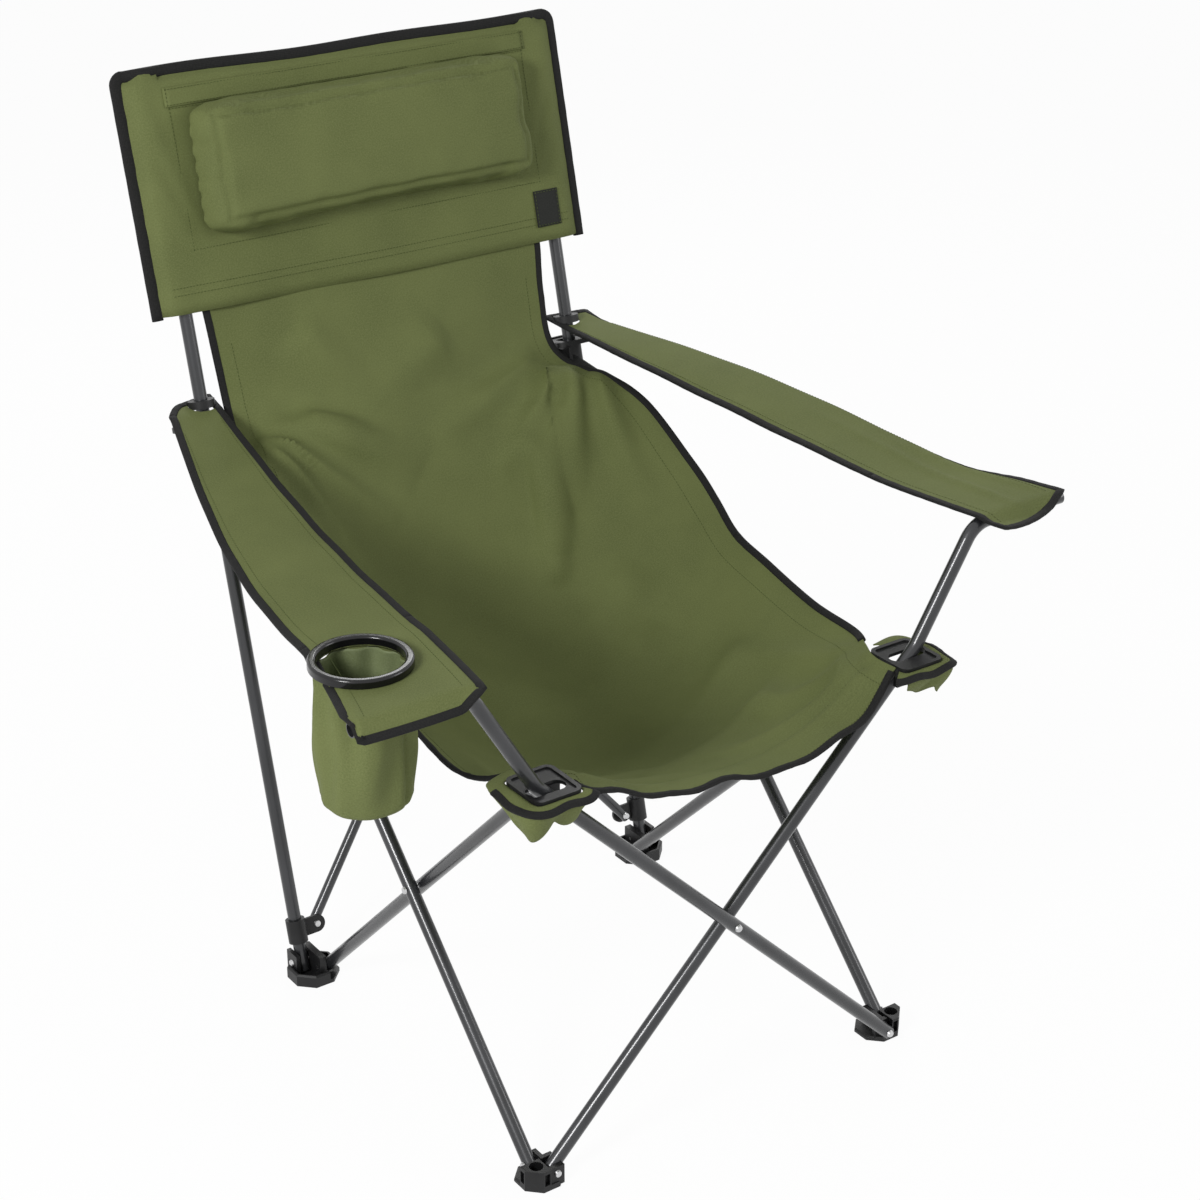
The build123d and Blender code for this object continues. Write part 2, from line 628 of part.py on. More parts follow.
# Headrest sleeve: a flat envelope over the upright tops, open below
with BuildPart() as sleeve:
    with BuildSketch(back_plane(sleeve_from)):
        RectangleRounded(2 * sleeve_half, sleeve_depth, sleeve_depth / 2 - 1)
        RectangleRounded(2 * (sleeve_half - cloth), sleeve_depth - 2 * cloth, sleeve_depth / 2 - cloth - 1,
                         mode=Mode.SUBTRACT)
    extrude(amount=sleeve_to - sleeve_from - cloth)
    with BuildSketch(back_plane(sleeve_to - cloth)):
        RectangleRounded(2 * sleeve_half, sleeve_depth, sleeve_depth / 2 - 1)
    extrude(amount=cloth)
finish(sleeve, "headrest_sleeve")

# Pillow on the headrest: swelling side gussets and a crowned face
sleeve_face = -(sleeve_depth / 2 + cloth_gap)
pillow_plane = Plane(origin=back_point(0, sleeve_face, pillow_middle), x_dir=(1, 0, 0), z_dir=-rearward_axis)
with BuildPart() as pillow:
    for rise, draw_share in ((0.0, 0.23), (0.25, 0.03), (0.55, 0.0), (0.8, 0.17), (1.0, 1.0)):
        drawn_in = 2 * pillow_edge_draw * draw_share
        with BuildSketch(pillow_plane.offset(rise * pillow_depth)):
            RectangleRounded(pillow_length - drawn_in, pillow_height - drawn_in, pillow_corner)
    loft()
finish(pillow, "headrest_pillow")

# Plain sewn patch beside the pillow
with BuildPart() as patch:
    patch_middle = back_point(sleeve_half - label_from_edge, sleeve_face, label_from + label_height / 2)
    with BuildSketch(Plane(origin=patch_middle, x_dir=(1, 0, 0), z_dir=-rearward_axis)):
        RectangleRounded(label_width, label_height, 2.0)
    extrude(amount=label_thickness)
finish(patch, "headrest_patch")

# Arms: level over the post bars, then sagging strips that climb to the uprights
arm_front_z = post_top_height + tube_r + cloth_gap
arm_rear = back_point(0, 0, arm_rear_along)
arm_front_y = front_outer_y - arm_past_bar
arm_back_y = arm_rear.Y + arm_past_upright
arm_length = arm_back_y - arm_front_y
cup_y = front_outer_y + cup_behind_post


def arm_height(share):
    """Underside of the arm strip at a share of its length from the front."""
    climb = max(0.0, (share - arm_level_share) / (1 - arm_level_share))
    return arm_front_z + (arm_rear.Z - arm_front_z) * climb - arm_sag * 4 * climb * (1 - climb)


for side, sx, front_width in (("left", -1, arm_left_width), ("right", 1, arm_right_width)):
    front_out = post_bar_end + arm_past_tip
    front_in = front_out - front_width
    rear_in = upright_x + arm_rear_out - arm_rear_half
    rear_out = upright_x + arm_rear_out + arm_rear_half
    with BuildPart() as arm:
        for number in range(arm_panels + 1):
            share = number / arm_panels
            flare = 1 - share**arm_flare_power
            low = rear_in + (front_in - rear_in) * flare
            high = rear_out + (front_out - rear_out) * flare
            middle = (sx * (low + high) / 2, arm_front_y + share * arm_length, arm_height(share) + cloth / 2)
            with BuildSketch(Plane(origin=middle, x_dir=(1, 0, 0), z_dir=(0, 1, 0))):
                Rectangle(high - low, cloth)
        loft(ruled=True)
        with BuildSketch(back_plane(arm_rear_along, sx * upright_x)):
            Circle(grommet_d / 2 + grommet_play)
        extrude(amount=3 * grommet_d, both=True, mode=Mode.SUBTRACT)
        if side == "left":
            with BuildSketch(Plane.XY.offset(arm_front_z)):
                with Locations((cup_x, cup_y)):
                    Circle(cup_bore_d / 2 + cloth_gap)
            extrude(amount=cup_ring_d, both=True, mode=Mode.SUBTRACT)
    finish(arm, f"arm_{side}")
    with BuildPart() as grommet:
        with BuildSketch(back_plane(arm_rear_along - grommet_height / 2, sx * upright_x)):
            Circle(grommet_d / 2)
            Circle(tube_r + cloth_gap, mode=Mode.SUBTRACT)
        extrude(amount=grommet_height)
    finish(grommet, f"arm_grommet_{side}")

# Cup holder: moulded ring on the arm and a cloth pocket under it
with BuildPart() as ring:
    with BuildSketch(Plane.XY.offset(arm_front_z + cloth + cloth_gap)):
        with Locations((cup_x, cup_y)):
            Circle(cup_ring_d / 2)
            Circle(cup_bore_d / 2, mode=Mode.SUBTRACT)
    extrude(amount=cup_ring_height)
    fillet(ring.edges().group_by(Axis.Z)[-1], cup_ring_round)
finish(ring, "cup_ring")
with BuildPart() as cup:
    pocket_top = arm_front_z - cloth_gap
    with BuildSketch(Plane.XY.offset(pocket_top)):
        with Locations((cup_x, cup_y)):
            Circle(pocket_d / 2)
    extrude(amount=-cup_depth)
    fillet(cup.edges().group_by(Axis.Z)[0], pocket_round)
    offset(amount=-cloth, openings=cup.faces().sort_by(Axis.Z)[-1])
finish(cup, "cup_pocket")

print("lean", round(degrees(lean), 3), "long pin along", round(long_pin_along, 2))
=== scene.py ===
# %% [markdown]
# # A folding camp chair
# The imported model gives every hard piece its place. This lesson dresses it: paint on the tubes, moulded
# plastic on the feet, and cloth that is made afresh, because thin solids can't show how cloth hangs.

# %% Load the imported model
import bpy
import bmesh
import math
import numpy as np
from mathutils import Vector, Matrix
from mathutils.kdtree import KDTree


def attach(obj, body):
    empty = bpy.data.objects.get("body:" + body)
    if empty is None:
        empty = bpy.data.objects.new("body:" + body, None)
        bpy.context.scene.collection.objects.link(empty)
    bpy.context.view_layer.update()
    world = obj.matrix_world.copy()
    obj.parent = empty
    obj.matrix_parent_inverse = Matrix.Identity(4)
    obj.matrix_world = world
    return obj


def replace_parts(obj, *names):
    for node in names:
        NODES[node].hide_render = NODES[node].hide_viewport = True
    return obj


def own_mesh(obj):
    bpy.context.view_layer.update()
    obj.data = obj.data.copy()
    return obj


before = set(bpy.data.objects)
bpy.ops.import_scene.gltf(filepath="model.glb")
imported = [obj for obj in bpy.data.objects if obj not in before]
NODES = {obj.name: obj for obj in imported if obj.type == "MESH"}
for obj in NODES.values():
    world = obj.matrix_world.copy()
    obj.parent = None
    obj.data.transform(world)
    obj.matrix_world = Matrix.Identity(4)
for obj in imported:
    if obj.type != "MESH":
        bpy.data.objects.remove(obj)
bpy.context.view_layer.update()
scene = bpy.context.scene


def placed(name, data):
    """New object of the scene."""
    ob = bpy.data.objects.new(name, data)
    scene.collection.objects.link(ob)
    return ob


# %% [markdown]
# ## Camera, light and floor
# The camera stands where the photograph was taken from: in front, to the viewer's left and above the seat.
# Its lens and its small shift come from a fit of the feet, crossings and corners. A large soft lamp from the
# upper left gives the long bright streaks on the tubes, and a pale world fills the rest.

# %% Camera
CAMERA_PLACE = Vector((-1.5114, -2.2637, 1.8012))
CAMERA_AZIMUTH = math.radians(-35.217)
CAMERA_ELEVATION = math.radians(25.836)
PICTURE_SIDE = 1200
FOCAL_LENGTH, SHIFT_RIGHT, SHIFT_UP = 2573.27 / PICTURE_SIDE, 5.15 / PICTURE_SIDE, 10.12 / PICTURE_SIDE
SENSOR = 36.0
camera_data = bpy.data.cameras.new("camera")
camera = placed("camera", camera_data)
ca, sa = math.cos(CAMERA_AZIMUTH), math.sin(CAMERA_AZIMUTH)
ce, se = math.cos(CAMERA_ELEVATION), math.sin(CAMERA_ELEVATION)
back = Vector((sa * ce, -ca * ce, se))
right = Vector((ca, sa, 0.0))
up = back.cross(right)
camera.matrix_world = Matrix.Translation(CAMERA_PLACE) @ Matrix((right, up, back)).transposed().to_4x4()
camera_data.sensor_width = SENSOR
camera_data.lens = SENSOR * FOCAL_LENGTH
camera_data.shift_x, camera_data.shift_y = SHIFT_RIGHT, SHIFT_UP
scene.camera = camera
scene.view_settings.view_transform = "Standard"
print("lens", round(camera_data.lens, 1))

# %% [markdown]
# ## Shader sums in plain Python
# A finish is a sum of patterns. This small class wraps a socket, so that `1 - mask * 0.3` adds the Math nodes
# by itself and the recipe of each finish stays readable.

# %% A socket that can be added and multiplied
class Wire:
    """Output socket of a shader node."""

    def __init__(self, shader, socket):
        self.shader = shader
        self.socket = socket

    def sum(self, operation, first, second):
        return self.shader.node("ShaderNodeMath", {"operation": operation}, {0: first, 1: second})

    def __add__(self, other):
        return self.sum("ADD", self, other)

    def __mul__(self, other):
        return self.sum("MULTIPLY", self, other)

    def __rsub__(self, other):
        return self.sum("SUBTRACT", other, self)

    __radd__ = __add__


class Finish:
    """Material with short ways to add the nodes that the recipes use."""

    def __init__(self, name, **constants):
        self.material = bpy.data.materials.new(name)
        self.material.use_nodes = True
        self.tree = self.material.node_tree
        self.surface = self.tree.nodes["Principled BSDF"]
        for socket, value in constants.items():
            self.surface.inputs[socket.replace("_", " ")].default_value = value

    def node(self, kind, settings=None, inputs=None, output=0):
        made = self.tree.nodes.new(kind)
        for key, value in (settings or {}).items():
            setattr(made, key, value)
        for key, value in (inputs or {}).items():
            if isinstance(value, Wire):
                self.tree.links.new(value.socket, made.inputs[key])
            else:
                made.inputs[key].default_value = value
        return Wire(self, made.outputs[output])

    def link(self, wire, socket):
        self.tree.links.new(wire.socket, self.surface.inputs[socket])

    def place(self, which="Object"):
        return self.node("ShaderNodeTexCoord", output=which)

    def scaled(self, place, scale):
        return self.node("ShaderNodeMapping", {}, {"Vector": place, "Scale": scale})

    def noise(self, place, scale, detail=3.0, rough=0.55):
        return self.node("ShaderNodeTexNoise", {}, {"Vector": place, "Scale": scale, "Detail": detail,
                                                    "Roughness": rough})

    def mix(self, factor, first, second):
        return self.node("ShaderNodeMix", {"data_type": "RGBA"}, {0: factor, 6: first, 7: second}, 2)

    def ramp(self, wire, low, high):
        limits = {"Value": wire, "From Min": low, "From Max": high}
        return self.node("ShaderNodeMapRange", {"clamp": True}, limits)

    def bump(self, height, strength, distance):
        made = self.node("ShaderNodeBump", {}, {"Height": height, "Strength": strength, "Distance": distance})
        self.link(made, "Normal")


def srgb(red, green, blue):
    """Linear colour from the 0 to 255 values of a picture."""
    def one(value):
        share = value / 255
        return share / 12.92 if share <= 0.04045 else ((share + 0.055) / 1.055) ** 2.4
    return one(red), one(green), one(blue), 1.0


# %% [markdown]
# ## Cloth, tape, paint, plastic and steel
# The cloth is a plain-weave polyester, so its colour is broken up by the two thread directions and by a slow
# drift from the dye. The tubes have a dark, slightly pebbled paint that takes sharp streaks of light.

# %% Cloth finishes
THREAD = 0.0011
WAVE_PERIOD = 0.314


def woven(name, colour, dark, light, rough, crease):
    made = Finish(name, Roughness=rough, Sheen_Weight=0.12, Sheen_Roughness=0.5, Specular_IOR_Level=0.25)
    made.surface.inputs["Sheen Tint"].default_value = light
    flat = made.place("UV")
    thread = {"Vector": flat, "Scale": WAVE_PERIOD / THREAD, "Distortion": 0.6, "Detail": 1.0}
    warp, weft = [made.node("ShaderNodeTexWave", {"bands_direction": way}, thread, "Fac") for way in "XY"]
    drift = made.noise(made.place(), 9.0, 4.0)
    speck = made.noise(made.scaled(flat, (520.0, 520.0, 520.0)), 1.0, 2.0, 0.7)
    weave = warp * weft
    shade = made.mix(made.ramp(drift, 0.35, 0.68), dark, colour)
    shade = made.mix(made.ramp(speck + weave * 0.4, 0.42, 0.95) * 0.62, shade, light)
    made.link(shade, "Base Color")
    made.link(rough - weave * 0.08 + drift * 0.06, "Roughness")
    ripple = made.noise(made.place(), 26.0, 3.0) * crease
    made.bump(weave * 0.35 + speck * 0.25 + ripple, 0.55, 0.0008)
    return made.material


OLIVE = woven("olive_cloth", srgb(103, 111, 65), srgb(92, 100, 57), srgb(128, 136, 87), 0.78, 2.2)
OLIVE_INSIDE = woven("olive_cloth_coated_side", srgb(112, 122, 84), srgb(98, 108, 72), srgb(140, 150, 112),
                     0.5, 1.6)
TAPE = woven("black_edge_tape", srgb(24, 24, 24), srgb(17, 17, 17), srgb(44, 44, 43), 0.8, 1.0)
PATCH = woven("plain_patch", srgb(34, 35, 33), srgb(27, 28, 26), srgb(52, 54, 50), 0.75, 0.4)
THREAD_GREEN = woven("sewing_thread", srgb(74, 84, 42), srgb(64, 73, 36), srgb(100, 110, 62), 0.7, 0.2)

# %% Paint, plastic and steel
def hard(name, stretch, detail, low, tones, rough, grain=None, **constants):
    """Finish whose two tones and roughness follow a noise.

    A grain gives the size of a finer noise and its bump. Without a size the bump follows the first noise.
    """
    made = Finish(name, **constants)
    cloud = made.noise(made.scaled(made.place(), stretch), 1.0, detail)
    dark, light = [(*tone, 1.0) for tone in tones]
    made.link(made.mix(made.ramp(cloud, low, 0.7), dark, light), "Base Color")
    base, by_cloud, by_grain = rough
    level = base + cloud * by_cloud
    if grain:
        size, strength, distance = grain
        fine = made.noise(made.place(), size, 2.0) if size else cloud
        level = level + fine * by_grain
        made.bump(fine, strength, distance)
    made.link(level, "Roughness")
    return made.material


PAINT = hard("dark_tube_paint", (30.0, 30.0, 6.0), 4.0, 0.35, ((0.022, 0.023, 0.025), (0.036, 0.037, 0.041)),
             (0.24, 0.08, 0.12), (420.0, 0.12, 0.0004), Metallic=0.35, Coat_Weight=0.5, Coat_Roughness=0.12)
PLASTIC = hard("moulded_black_plastic", (35.0, 35.0, 35.0), 3.0, 0.3,
               ((0.006, 0.006, 0.0065), (0.013, 0.013, 0.0135)), (0.36, 0.2, 0.0), (900.0, 0.18, 0.0003),
               Specular_IOR_Level=0.35)
GLOSS = hard("glossy_cup_ring", (60.0, 60.0, 60.0), 3.0, 0.3,
             ((0.004, 0.004, 0.0045), (0.007, 0.007, 0.0075)), (0.14, 0.12, 0.0),
             Specular_IOR_Level=0.35, Coat_Weight=0.15, Coat_Roughness=0.1)
STEEL = hard("bright_rivet_steel", (900.0, 900.0, 160.0), 3.0, 0.3, ((0.50, 0.50, 0.51), (0.70, 0.70, 0.70)),
             (0.26, 0.2, 0.0), (None, 0.1, 0.0003), Metallic=1.0)


TUBES = ("front_tube", "side_tube", "upright", "back_tube")
CLOTHS = ("sling", "headrest", "corner_flap", "cup_pocket", "arm_left", "arm_right")
ALONE = {"cup_ring": GLOSS, "headrest_patch": PATCH}


def finish_of(node):
    if "rivet" in node:
        return STEEL
    other = OLIVE if node.startswith(CLOTHS) else PLASTIC
    return PAINT if node.startswith(TUBES) else ALONE.get(node, other)


for node, ob in NODES.items():
    ob.data.materials.clear()
    ob.data.materials.append(finish_of(node))
print("finishes", len(bpy.data.materials))

# %% Floor, world and lamps
FLOOR_GLOW, SHADE_LEVEL = 0.955, 0.36


def seen_directly(tree):
    """Socket that is one for the rays of the camera, of mirrors and of glass."""
    path = tree.nodes.new("ShaderNodeLightPath")
    socket = path.outputs["Is Camera Ray"]
    for kind in ("Is Glossy Ray", "Is Transmission Ray"):
        either = tree.nodes.new("ShaderNodeMath")
        either.operation = "MAXIMUM"
        tree.links.new(socket, either.inputs[0])
        tree.links.new(path.outputs[kind], either.inputs[1])
        socket = either.outputs[0]
    return socket


floor_mesh = bpy.data.meshes.new("floor")
floor_mesh.from_pydata([(-9, -9, 0), (9, -9, 0), (9, 9, 0), (-9, 9, 0)], [], [(0, 1, 2, 3)])
floor = placed("floor", floor_mesh)
floor.location.z = -0.0005
ground = Finish("pale_floor", Roughness=0.9)
ground.surface.inputs["Base Color"].default_value = (0.92, 0.92, 0.92, 1)
seen = Wire(ground, seen_directly(ground.tree))
glow = ground.tree.nodes.new("ShaderNodeEmission")
joined = ground.tree.nodes.new("ShaderNodeMixShader")
ground.tree.links.new((seen * FLOOR_GLOW).socket, joined.inputs[0])
ground.tree.links.new(ground.surface.outputs[0], joined.inputs[1])
ground.tree.links.new(glow.outputs[0], joined.inputs[2])
ground.tree.links.new(joined.outputs[0], ground.tree.nodes["Material Output"].inputs[0])
floor_mesh.materials.append(ground.material)
world = bpy.data.worlds.new("studio")
scene.world = world
world.use_nodes = True
sky = world.node_tree
level = sky.nodes.new("ShaderNodeMapRange")
level.inputs["To Min"].default_value = SHADE_LEVEL
level.inputs["To Max"].default_value = 1.0
sky.links.new(seen_directly(sky), level.inputs["Value"])
sky.links.new(level.outputs[0], sky.nodes["Background"].inputs["Strength"])
sky.nodes["Background"].inputs["Color"].default_value = (1, 1, 1, 1)


def lamp(name, place, aim, size, power):
    data = bpy.data.lights.new(name, "AREA")
    data.shape = "RECTANGLE"
    data.size, data.size_y = size
    data.energy = power
    ob = placed(name, data)
    ob.location = place
    ob.rotation_euler = (Vector(aim) - Vector(place)).to_track_quat("-Z", "Y").to_euler()


lamp("key", (-2.6, -1.1, 2.1), (0, 0, 0.5), (0.8, 0.7), 60)
lamp("fill", (2.4, -2.4, 1.8), (0, 0, 0.5), (1.4, 1.4), 27)
lamp("rim", (1.4, 2.4, 2.2), (0, 0, 0.6), (1.6, 0.8), 26)
print("lamps", len(bpy.data.lights))

# %% [markdown]
# ## Cloth made from grids of points
# A panel of sewn cloth is a smooth surface with a little thickness. Each one starts as a grid of points that
# numpy moves about: stations give the main form, and tapering ridges give the folds. The grid becomes a mesh
# with a UV map in metres, so that the weave has its real scale, and Solidify closes it into a thin shell.

# %% Places shared with the frame
LEAN = math.radians(14.004)
PIVOT_Y, PIVOT_Z = 0.13921, 0.020
CLOTH = 0.0016
UPRIGHT_X = 0.260


def on_back(x, rear, along):
    """Point given by its place across, behind and along the leaning uprights."""
    y = PIVOT_Y + along * np.sin(LEAN) + rear * np.cos(LEAN)
    z = PIVOT_Z + along * np.cos(LEAN) - rear * np.sin(LEAN)
    return np.stack(np.broadcast_arrays(x, y, z), axis=-1).astype(float)


def length(vectors):
    return np.linalg.norm(vectors, axis=-1)


def unit(vectors):
    return vectors / np.maximum(length(vectors)[..., None], 1e-9)


def xyz(x, y, z):
    return np.stack([x, y, z], axis=-1)


def down(count):
    """Shares from nothing to one, one below the other."""
    return np.linspace(0, 1, count)[:, None]


def sideways(count):
    """Shares from nothing to one, side by side."""
    return np.linspace(0, 1, count)[None, :]


def climb(value, start, reach):
    """Nothing up to the start, then rising evenly to one."""
    return np.clip((value - start) / reach, 0, 1)


def bell(value, width):
    """One at nothing, fading to both sides."""
    return np.exp(-(value / width) ** 2)


def walked(path):
    """Length along a path up to each of its points."""
    return np.concatenate([[0.0], np.cumsum(length(np.diff(path, axis=0)))])


def facing(grid):
    """Unit normals of a grid of points."""
    return unit(np.cross(np.gradient(grid, axis=1), np.gradient(grid, axis=0)))


# %% Grid to closed cloth
def plain_mesh(ob):
    """Apply the modifiers of an object, so that a plain mesh is left."""
    graph = bpy.context.evaluated_depsgraph_get()
    mesh = bpy.data.meshes.new_from_object(ob.evaluated_get(graph))
    ob.modifiers.clear()
    ob.data = mesh
    for face in mesh.polygons:
        face.use_smooth = True
    return ob


def mesh_points(mesh):
    out = np.empty(len(mesh.vertices) * 3)
    mesh.vertices.foreach_get("co", out)
    return out.reshape(-1, 3)


def set_points(mesh, points):
    mesh.vertices.foreach_set("co", np.asarray(points, float).ravel())
    mesh.update()


def add_object(name, points, faces, material):
    mesh = bpy.data.meshes.new(name)
    mesh.from_pydata([tuple(p) for p in points], [], faces)
    mesh.materials.append(material)
    return placed(name, mesh)


def reworked(mesh, work):
    """Change a mesh by one step of the mesh editor."""
    edited = bmesh.new()
    edited.from_mesh(mesh)
    work(edited)
    edited.to_mesh(mesh)
    edited.free()


def drop_loose(edited):
    bmesh.ops.delete(edited, geom=[v for v in edited.verts if not v.link_faces], context="VERTS")


def turn_outward(edited):
    bmesh.ops.recalc_face_normals(edited, faces=edited.faces)


def add_uv(mesh, coords):
    layer = mesh.uv_layers.new(name="cloth")
    flat = [float(value) for loop in mesh.loops for value in coords[loop.vertex_index]]
    layer.data.foreach_set("uv", flat)


def spread(grid):
    """Flat coordinates of a grid in metres, measured over the surface."""
    across = length(np.diff(grid, axis=1))
    across = np.concatenate([np.zeros((len(grid), 1)), np.cumsum(across, axis=1)], axis=1)
    across -= across[:, across.shape[1] // 2][:, None]
    along = walked(grid[:, grid.shape[1] // 2])
    return np.stack([across, np.repeat(along[:, None], grid.shape[1], axis=1)], axis=-1)


def cloth(name, grid, material=None, lining=None, thick=CLOTH, hole=None, wrap=False, normals=None):
    """Closed thin cloth over a grid, with an optional round hole (x, y, radius) seen from above.

    A wrapped grid is a tube with its last row closed. Given normals keep two panels smooth where they meet.
    """
    rows, cols = grid.shape[:2]
    points = grid.reshape(-1, 3).copy()
    coords = spread(grid).reshape(-1, 2)
    faces = []
    for row in range(rows - 1):
        for col in range(cols if wrap else cols - 1):
            step = (col + 1) % cols
            here, below = row * cols, (row + 1) * cols
            faces.append((here + col, here + step, below + step, below + col))
    if wrap:
        faces.append(tuple(range((rows - 1) * cols, rows * cols)))
    if hole:
        centre, radius = np.array(hole[:2]), hole[2]
        far = length(points[:, :2] - centre)
        faces = [f for f in faces if np.mean([far[i] for i in f]) > radius]
        used = {}
        for f in faces:
            for pair in zip(f, f[1:] + f[:1]):
                key = tuple(sorted(pair))
                used[key] = used.get(key, 0) + 1
        rim = {i for pair, count in used.items() if count == 1 for i in pair if far[i] < radius * 1.35}
        for i in rim:
            points[i, :2] = centre + (points[i, :2] - centre) * (radius / max(far[i], 1e-6))
    ob = add_object(name, points, faces, material or OLIVE)
    add_uv(ob.data, coords)
    ob.data.materials.append(lining or material or OLIVE)
    ob.data.materials.append(material or OLIVE)
    reworked(ob.data, drop_loose)
    wall = ob.modifiers.new("thickness", "SOLIDIFY")
    wall.thickness = thick
    wall.offset = 0.0
    wall.material_offset = 1
    wall.material_offset_rim = 2
    plain_mesh(ob)
    for face in ob.data.polygons:
        if face.material_index == 2:
            face.use_smooth = False
    if normals is not None:
        tree = KDTree(rows * cols)
        for number, point in enumerate(grid.reshape(-1, 3)):
            tree.insert(point, number)
        tree.balance()
        lift = normals.reshape(-1, 3)[[tree.find(point)[1] for point in mesh_points(ob.data)]]
        own = np.array([vert.normal for vert in ob.data.vertices])
        lift = lift * np.where(np.sum(own * lift, axis=1, keepdims=True) < 0, -1, 1)
        ob.data.normals_split_custom_set_from_vertices([tuple(n) for n in lift])
    return ob


def fold(grid, start, end, width, height):
    """Raise a fold that runs between two points of the cloth and dies away at its far end."""
    normal = facing(grid)
    line = end - start
    share = np.clip(((grid - start) @ line) / (line @ line), 0.0, 1.0)
    off = grid - (start + share[..., None] * line)
    off -= np.sum(off * normal, axis=-1, keepdims=True) * normal
    near = bell(length(off), width)
    taper = np.clip(share / 0.15, 0, 1) * (1 - share) ** 0.7
    return grid + normal * (height * near * taper)[..., None]


# %% [markdown]
# ## Edge tape
# Every cut edge of the cloth is bound with a black tape that is folded over it. It is a flat rounded section
# carried along the edge, reaching further over the cloth than beyond it.

# %% Tape along an edge
TAPE_WIDTH, TAPE_THICK, TAPE_OUT = 0.0092, 0.0044, 0.0028
TAPE_SIDES, TAPE_SQUARE, TAPE_WANDER, TAPE_SIDE_UV = 12, 0.6, 0.12, 0.0025


def tape_parts(path, inward, width=TAPE_WIDTH, thick=TAPE_THICK):
    """Points, faces and flat coordinates of one run of tape."""
    ahead = unit(np.gradient(path, axis=0))
    inward = unit(inward - np.sum(inward * ahead, axis=-1, keepdims=True) * ahead)
    normal = np.cross(ahead, inward)
    turns = np.linspace(0, 2 * np.pi, TAPE_SIDES, endpoint=False)
    flat, tall = [np.sign(wave) * np.abs(wave) ** TAPE_SQUARE for wave in (np.cos(turns), np.sin(turns))]
    reach = width / 2 - TAPE_OUT + flat * width / 2
    step = np.arange(len(path))
    wander = 1 + TAPE_WANDER * np.sin(step * 1.7) * np.sin(step * 0.43)
    half_thick = wander * np.broadcast_to(thick, len(path)) / 2
    rings = (path[:, None] + inward[:, None] * reach[None, :, None]
             + normal[:, None] * (tall[None, :] * half_thick[:, None])[..., None])
    count, sides = rings.shape[:2]
    faces = [(i + j, i + (j + 1) % sides, i + sides + (j + 1) % sides, i + sides + j)
             for i in range(0, (count - 1) * sides, sides) for j in range(sides)]
    faces += [tuple(range(sides)), tuple(range((count - 1) * sides, count * sides))]
    side_uv = np.arange(sides) * TAPE_SIDE_UV
    coords = np.stack(np.broadcast_arrays(side_uv, walked(path)[:, None]), axis=-1)
    return rings.reshape(-1, 3), faces, coords.reshape(-1, 2)


def tape(name, runs, material=None, **sizes):
    """One piece from several runs of tape, each an edge and the direction into the cloth."""
    points, faces, coords = [], [], []
    for path, inward in runs:
        more, rings, flat = tape_parts(np.asarray(path), np.asarray(inward), **sizes)
        faces += [tuple(i + len(points) for i in face) for face in rings]
        points += list(more)
        coords += list(flat)
    ob = add_object(name, points, faces, material or TAPE)
    add_uv(ob.data, coords)
    reworked(ob.data, turn_outward)
    for face in ob.data.polygons:
        face.use_smooth = len(face.vertices) == 4
    return ob


# %% [markdown]
# ## Pieces that fold with the chair
# The cloth can't follow the frame when it closes, because the real one crumples between the tubes. Each panel
# of the sling and headrest rides on one body.


def ride_across(ob, body):
    """Ride a body."""
    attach(ob, body)
    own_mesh(ob)
    return ob


def ride_back(ob):
    return ride_across(ob, "upright_left")


def ride_seat(ob):
    return ride_across(ob, "seat")


def area(grid):
    first = np.cross(grid[1:, :-1] - grid[:-1, :-1], grid[:-1, 1:] - grid[:-1, :-1])
    second = np.cross(grid[:-1, 1:] - grid[1:, 1:], grid[1:, :-1] - grid[1:, 1:])
    return float((length(first) + length(second)).sum() / 2)


# %% [markdown]
# ## The sling
# Seat and back are one long panel that hangs between the corner plates and the headrest. It is worked out as
# one grid and then parted at its lowest line, where the two bodies meet. Stations give half the width, the
# place of the middle, how far the edges rise above it and the tilt of the section.

# %% Sling stations
CORNER_Y, CORNER_Z = -0.3519, 0.5069
REAR_Y, REAR_Z = 0.28827, 0.67759
BUCKET_DROP, BUCKET_RISE = 0.221, 0.148
SLING_STEPS, SLING_COLUMNS = 12, 81


def hung(half, share, drop, rise, tilt):
    """Station below the straight line from the front corners to the rear corners."""
    y = CORNER_Y + (REAR_Y - CORNER_Y) * share
    z = CORNER_Z + (REAR_Z - CORNER_Z) * share - BUCKET_DROP * drop
    return half, y, z, BUCKET_RISE * rise, tilt


def upper(half, along, in_front, bow):
    """Station on the leaning back, with its middle bowed to the front."""
    _, y, z = on_back(0.0, -in_front - bow, along)
    return half, y, z, -bow, BACK_TILT


BACK_TILT = 76.0
STATIONS = [
    upper(0.236, 0.845, 0.0087, 0.0025), upper(0.234, 0.807, 0.0087, 0.0025),
    upper(0.230, 0.743, 0.006, 0.020), (0.2301, REAR_Y - 0.0252, REAR_Z + 0.0063, -0.026, BACK_TILT),
    hung(0.2490, 0.924, 0.086, 0.169, 60), hung(0.2660, 0.888, 0.262, 0.486, 62),
    hung(0.2720, 0.81, 0.602, 0.845, 55), hung(0.2740, 0.701, 0.878, 1.0, 36),
    hung(0.2740, 0.576, 1.0, 1.0, 20), hung(0.2740, 0.428, 0.986, 0.990, 8),
    hung(0.2640, 0.256, 0.814, 0.845, 3), hung(0.2540, 0.108, 0.597, 0.700, 0),
    (0.2172, CORNER_Y, CORNER_Z - 0.090, 0.090, 0.0), (0.2172, -0.3959, CORNER_Z - 0.075, 0.075, -4.0)]
LOW_STATION = 8


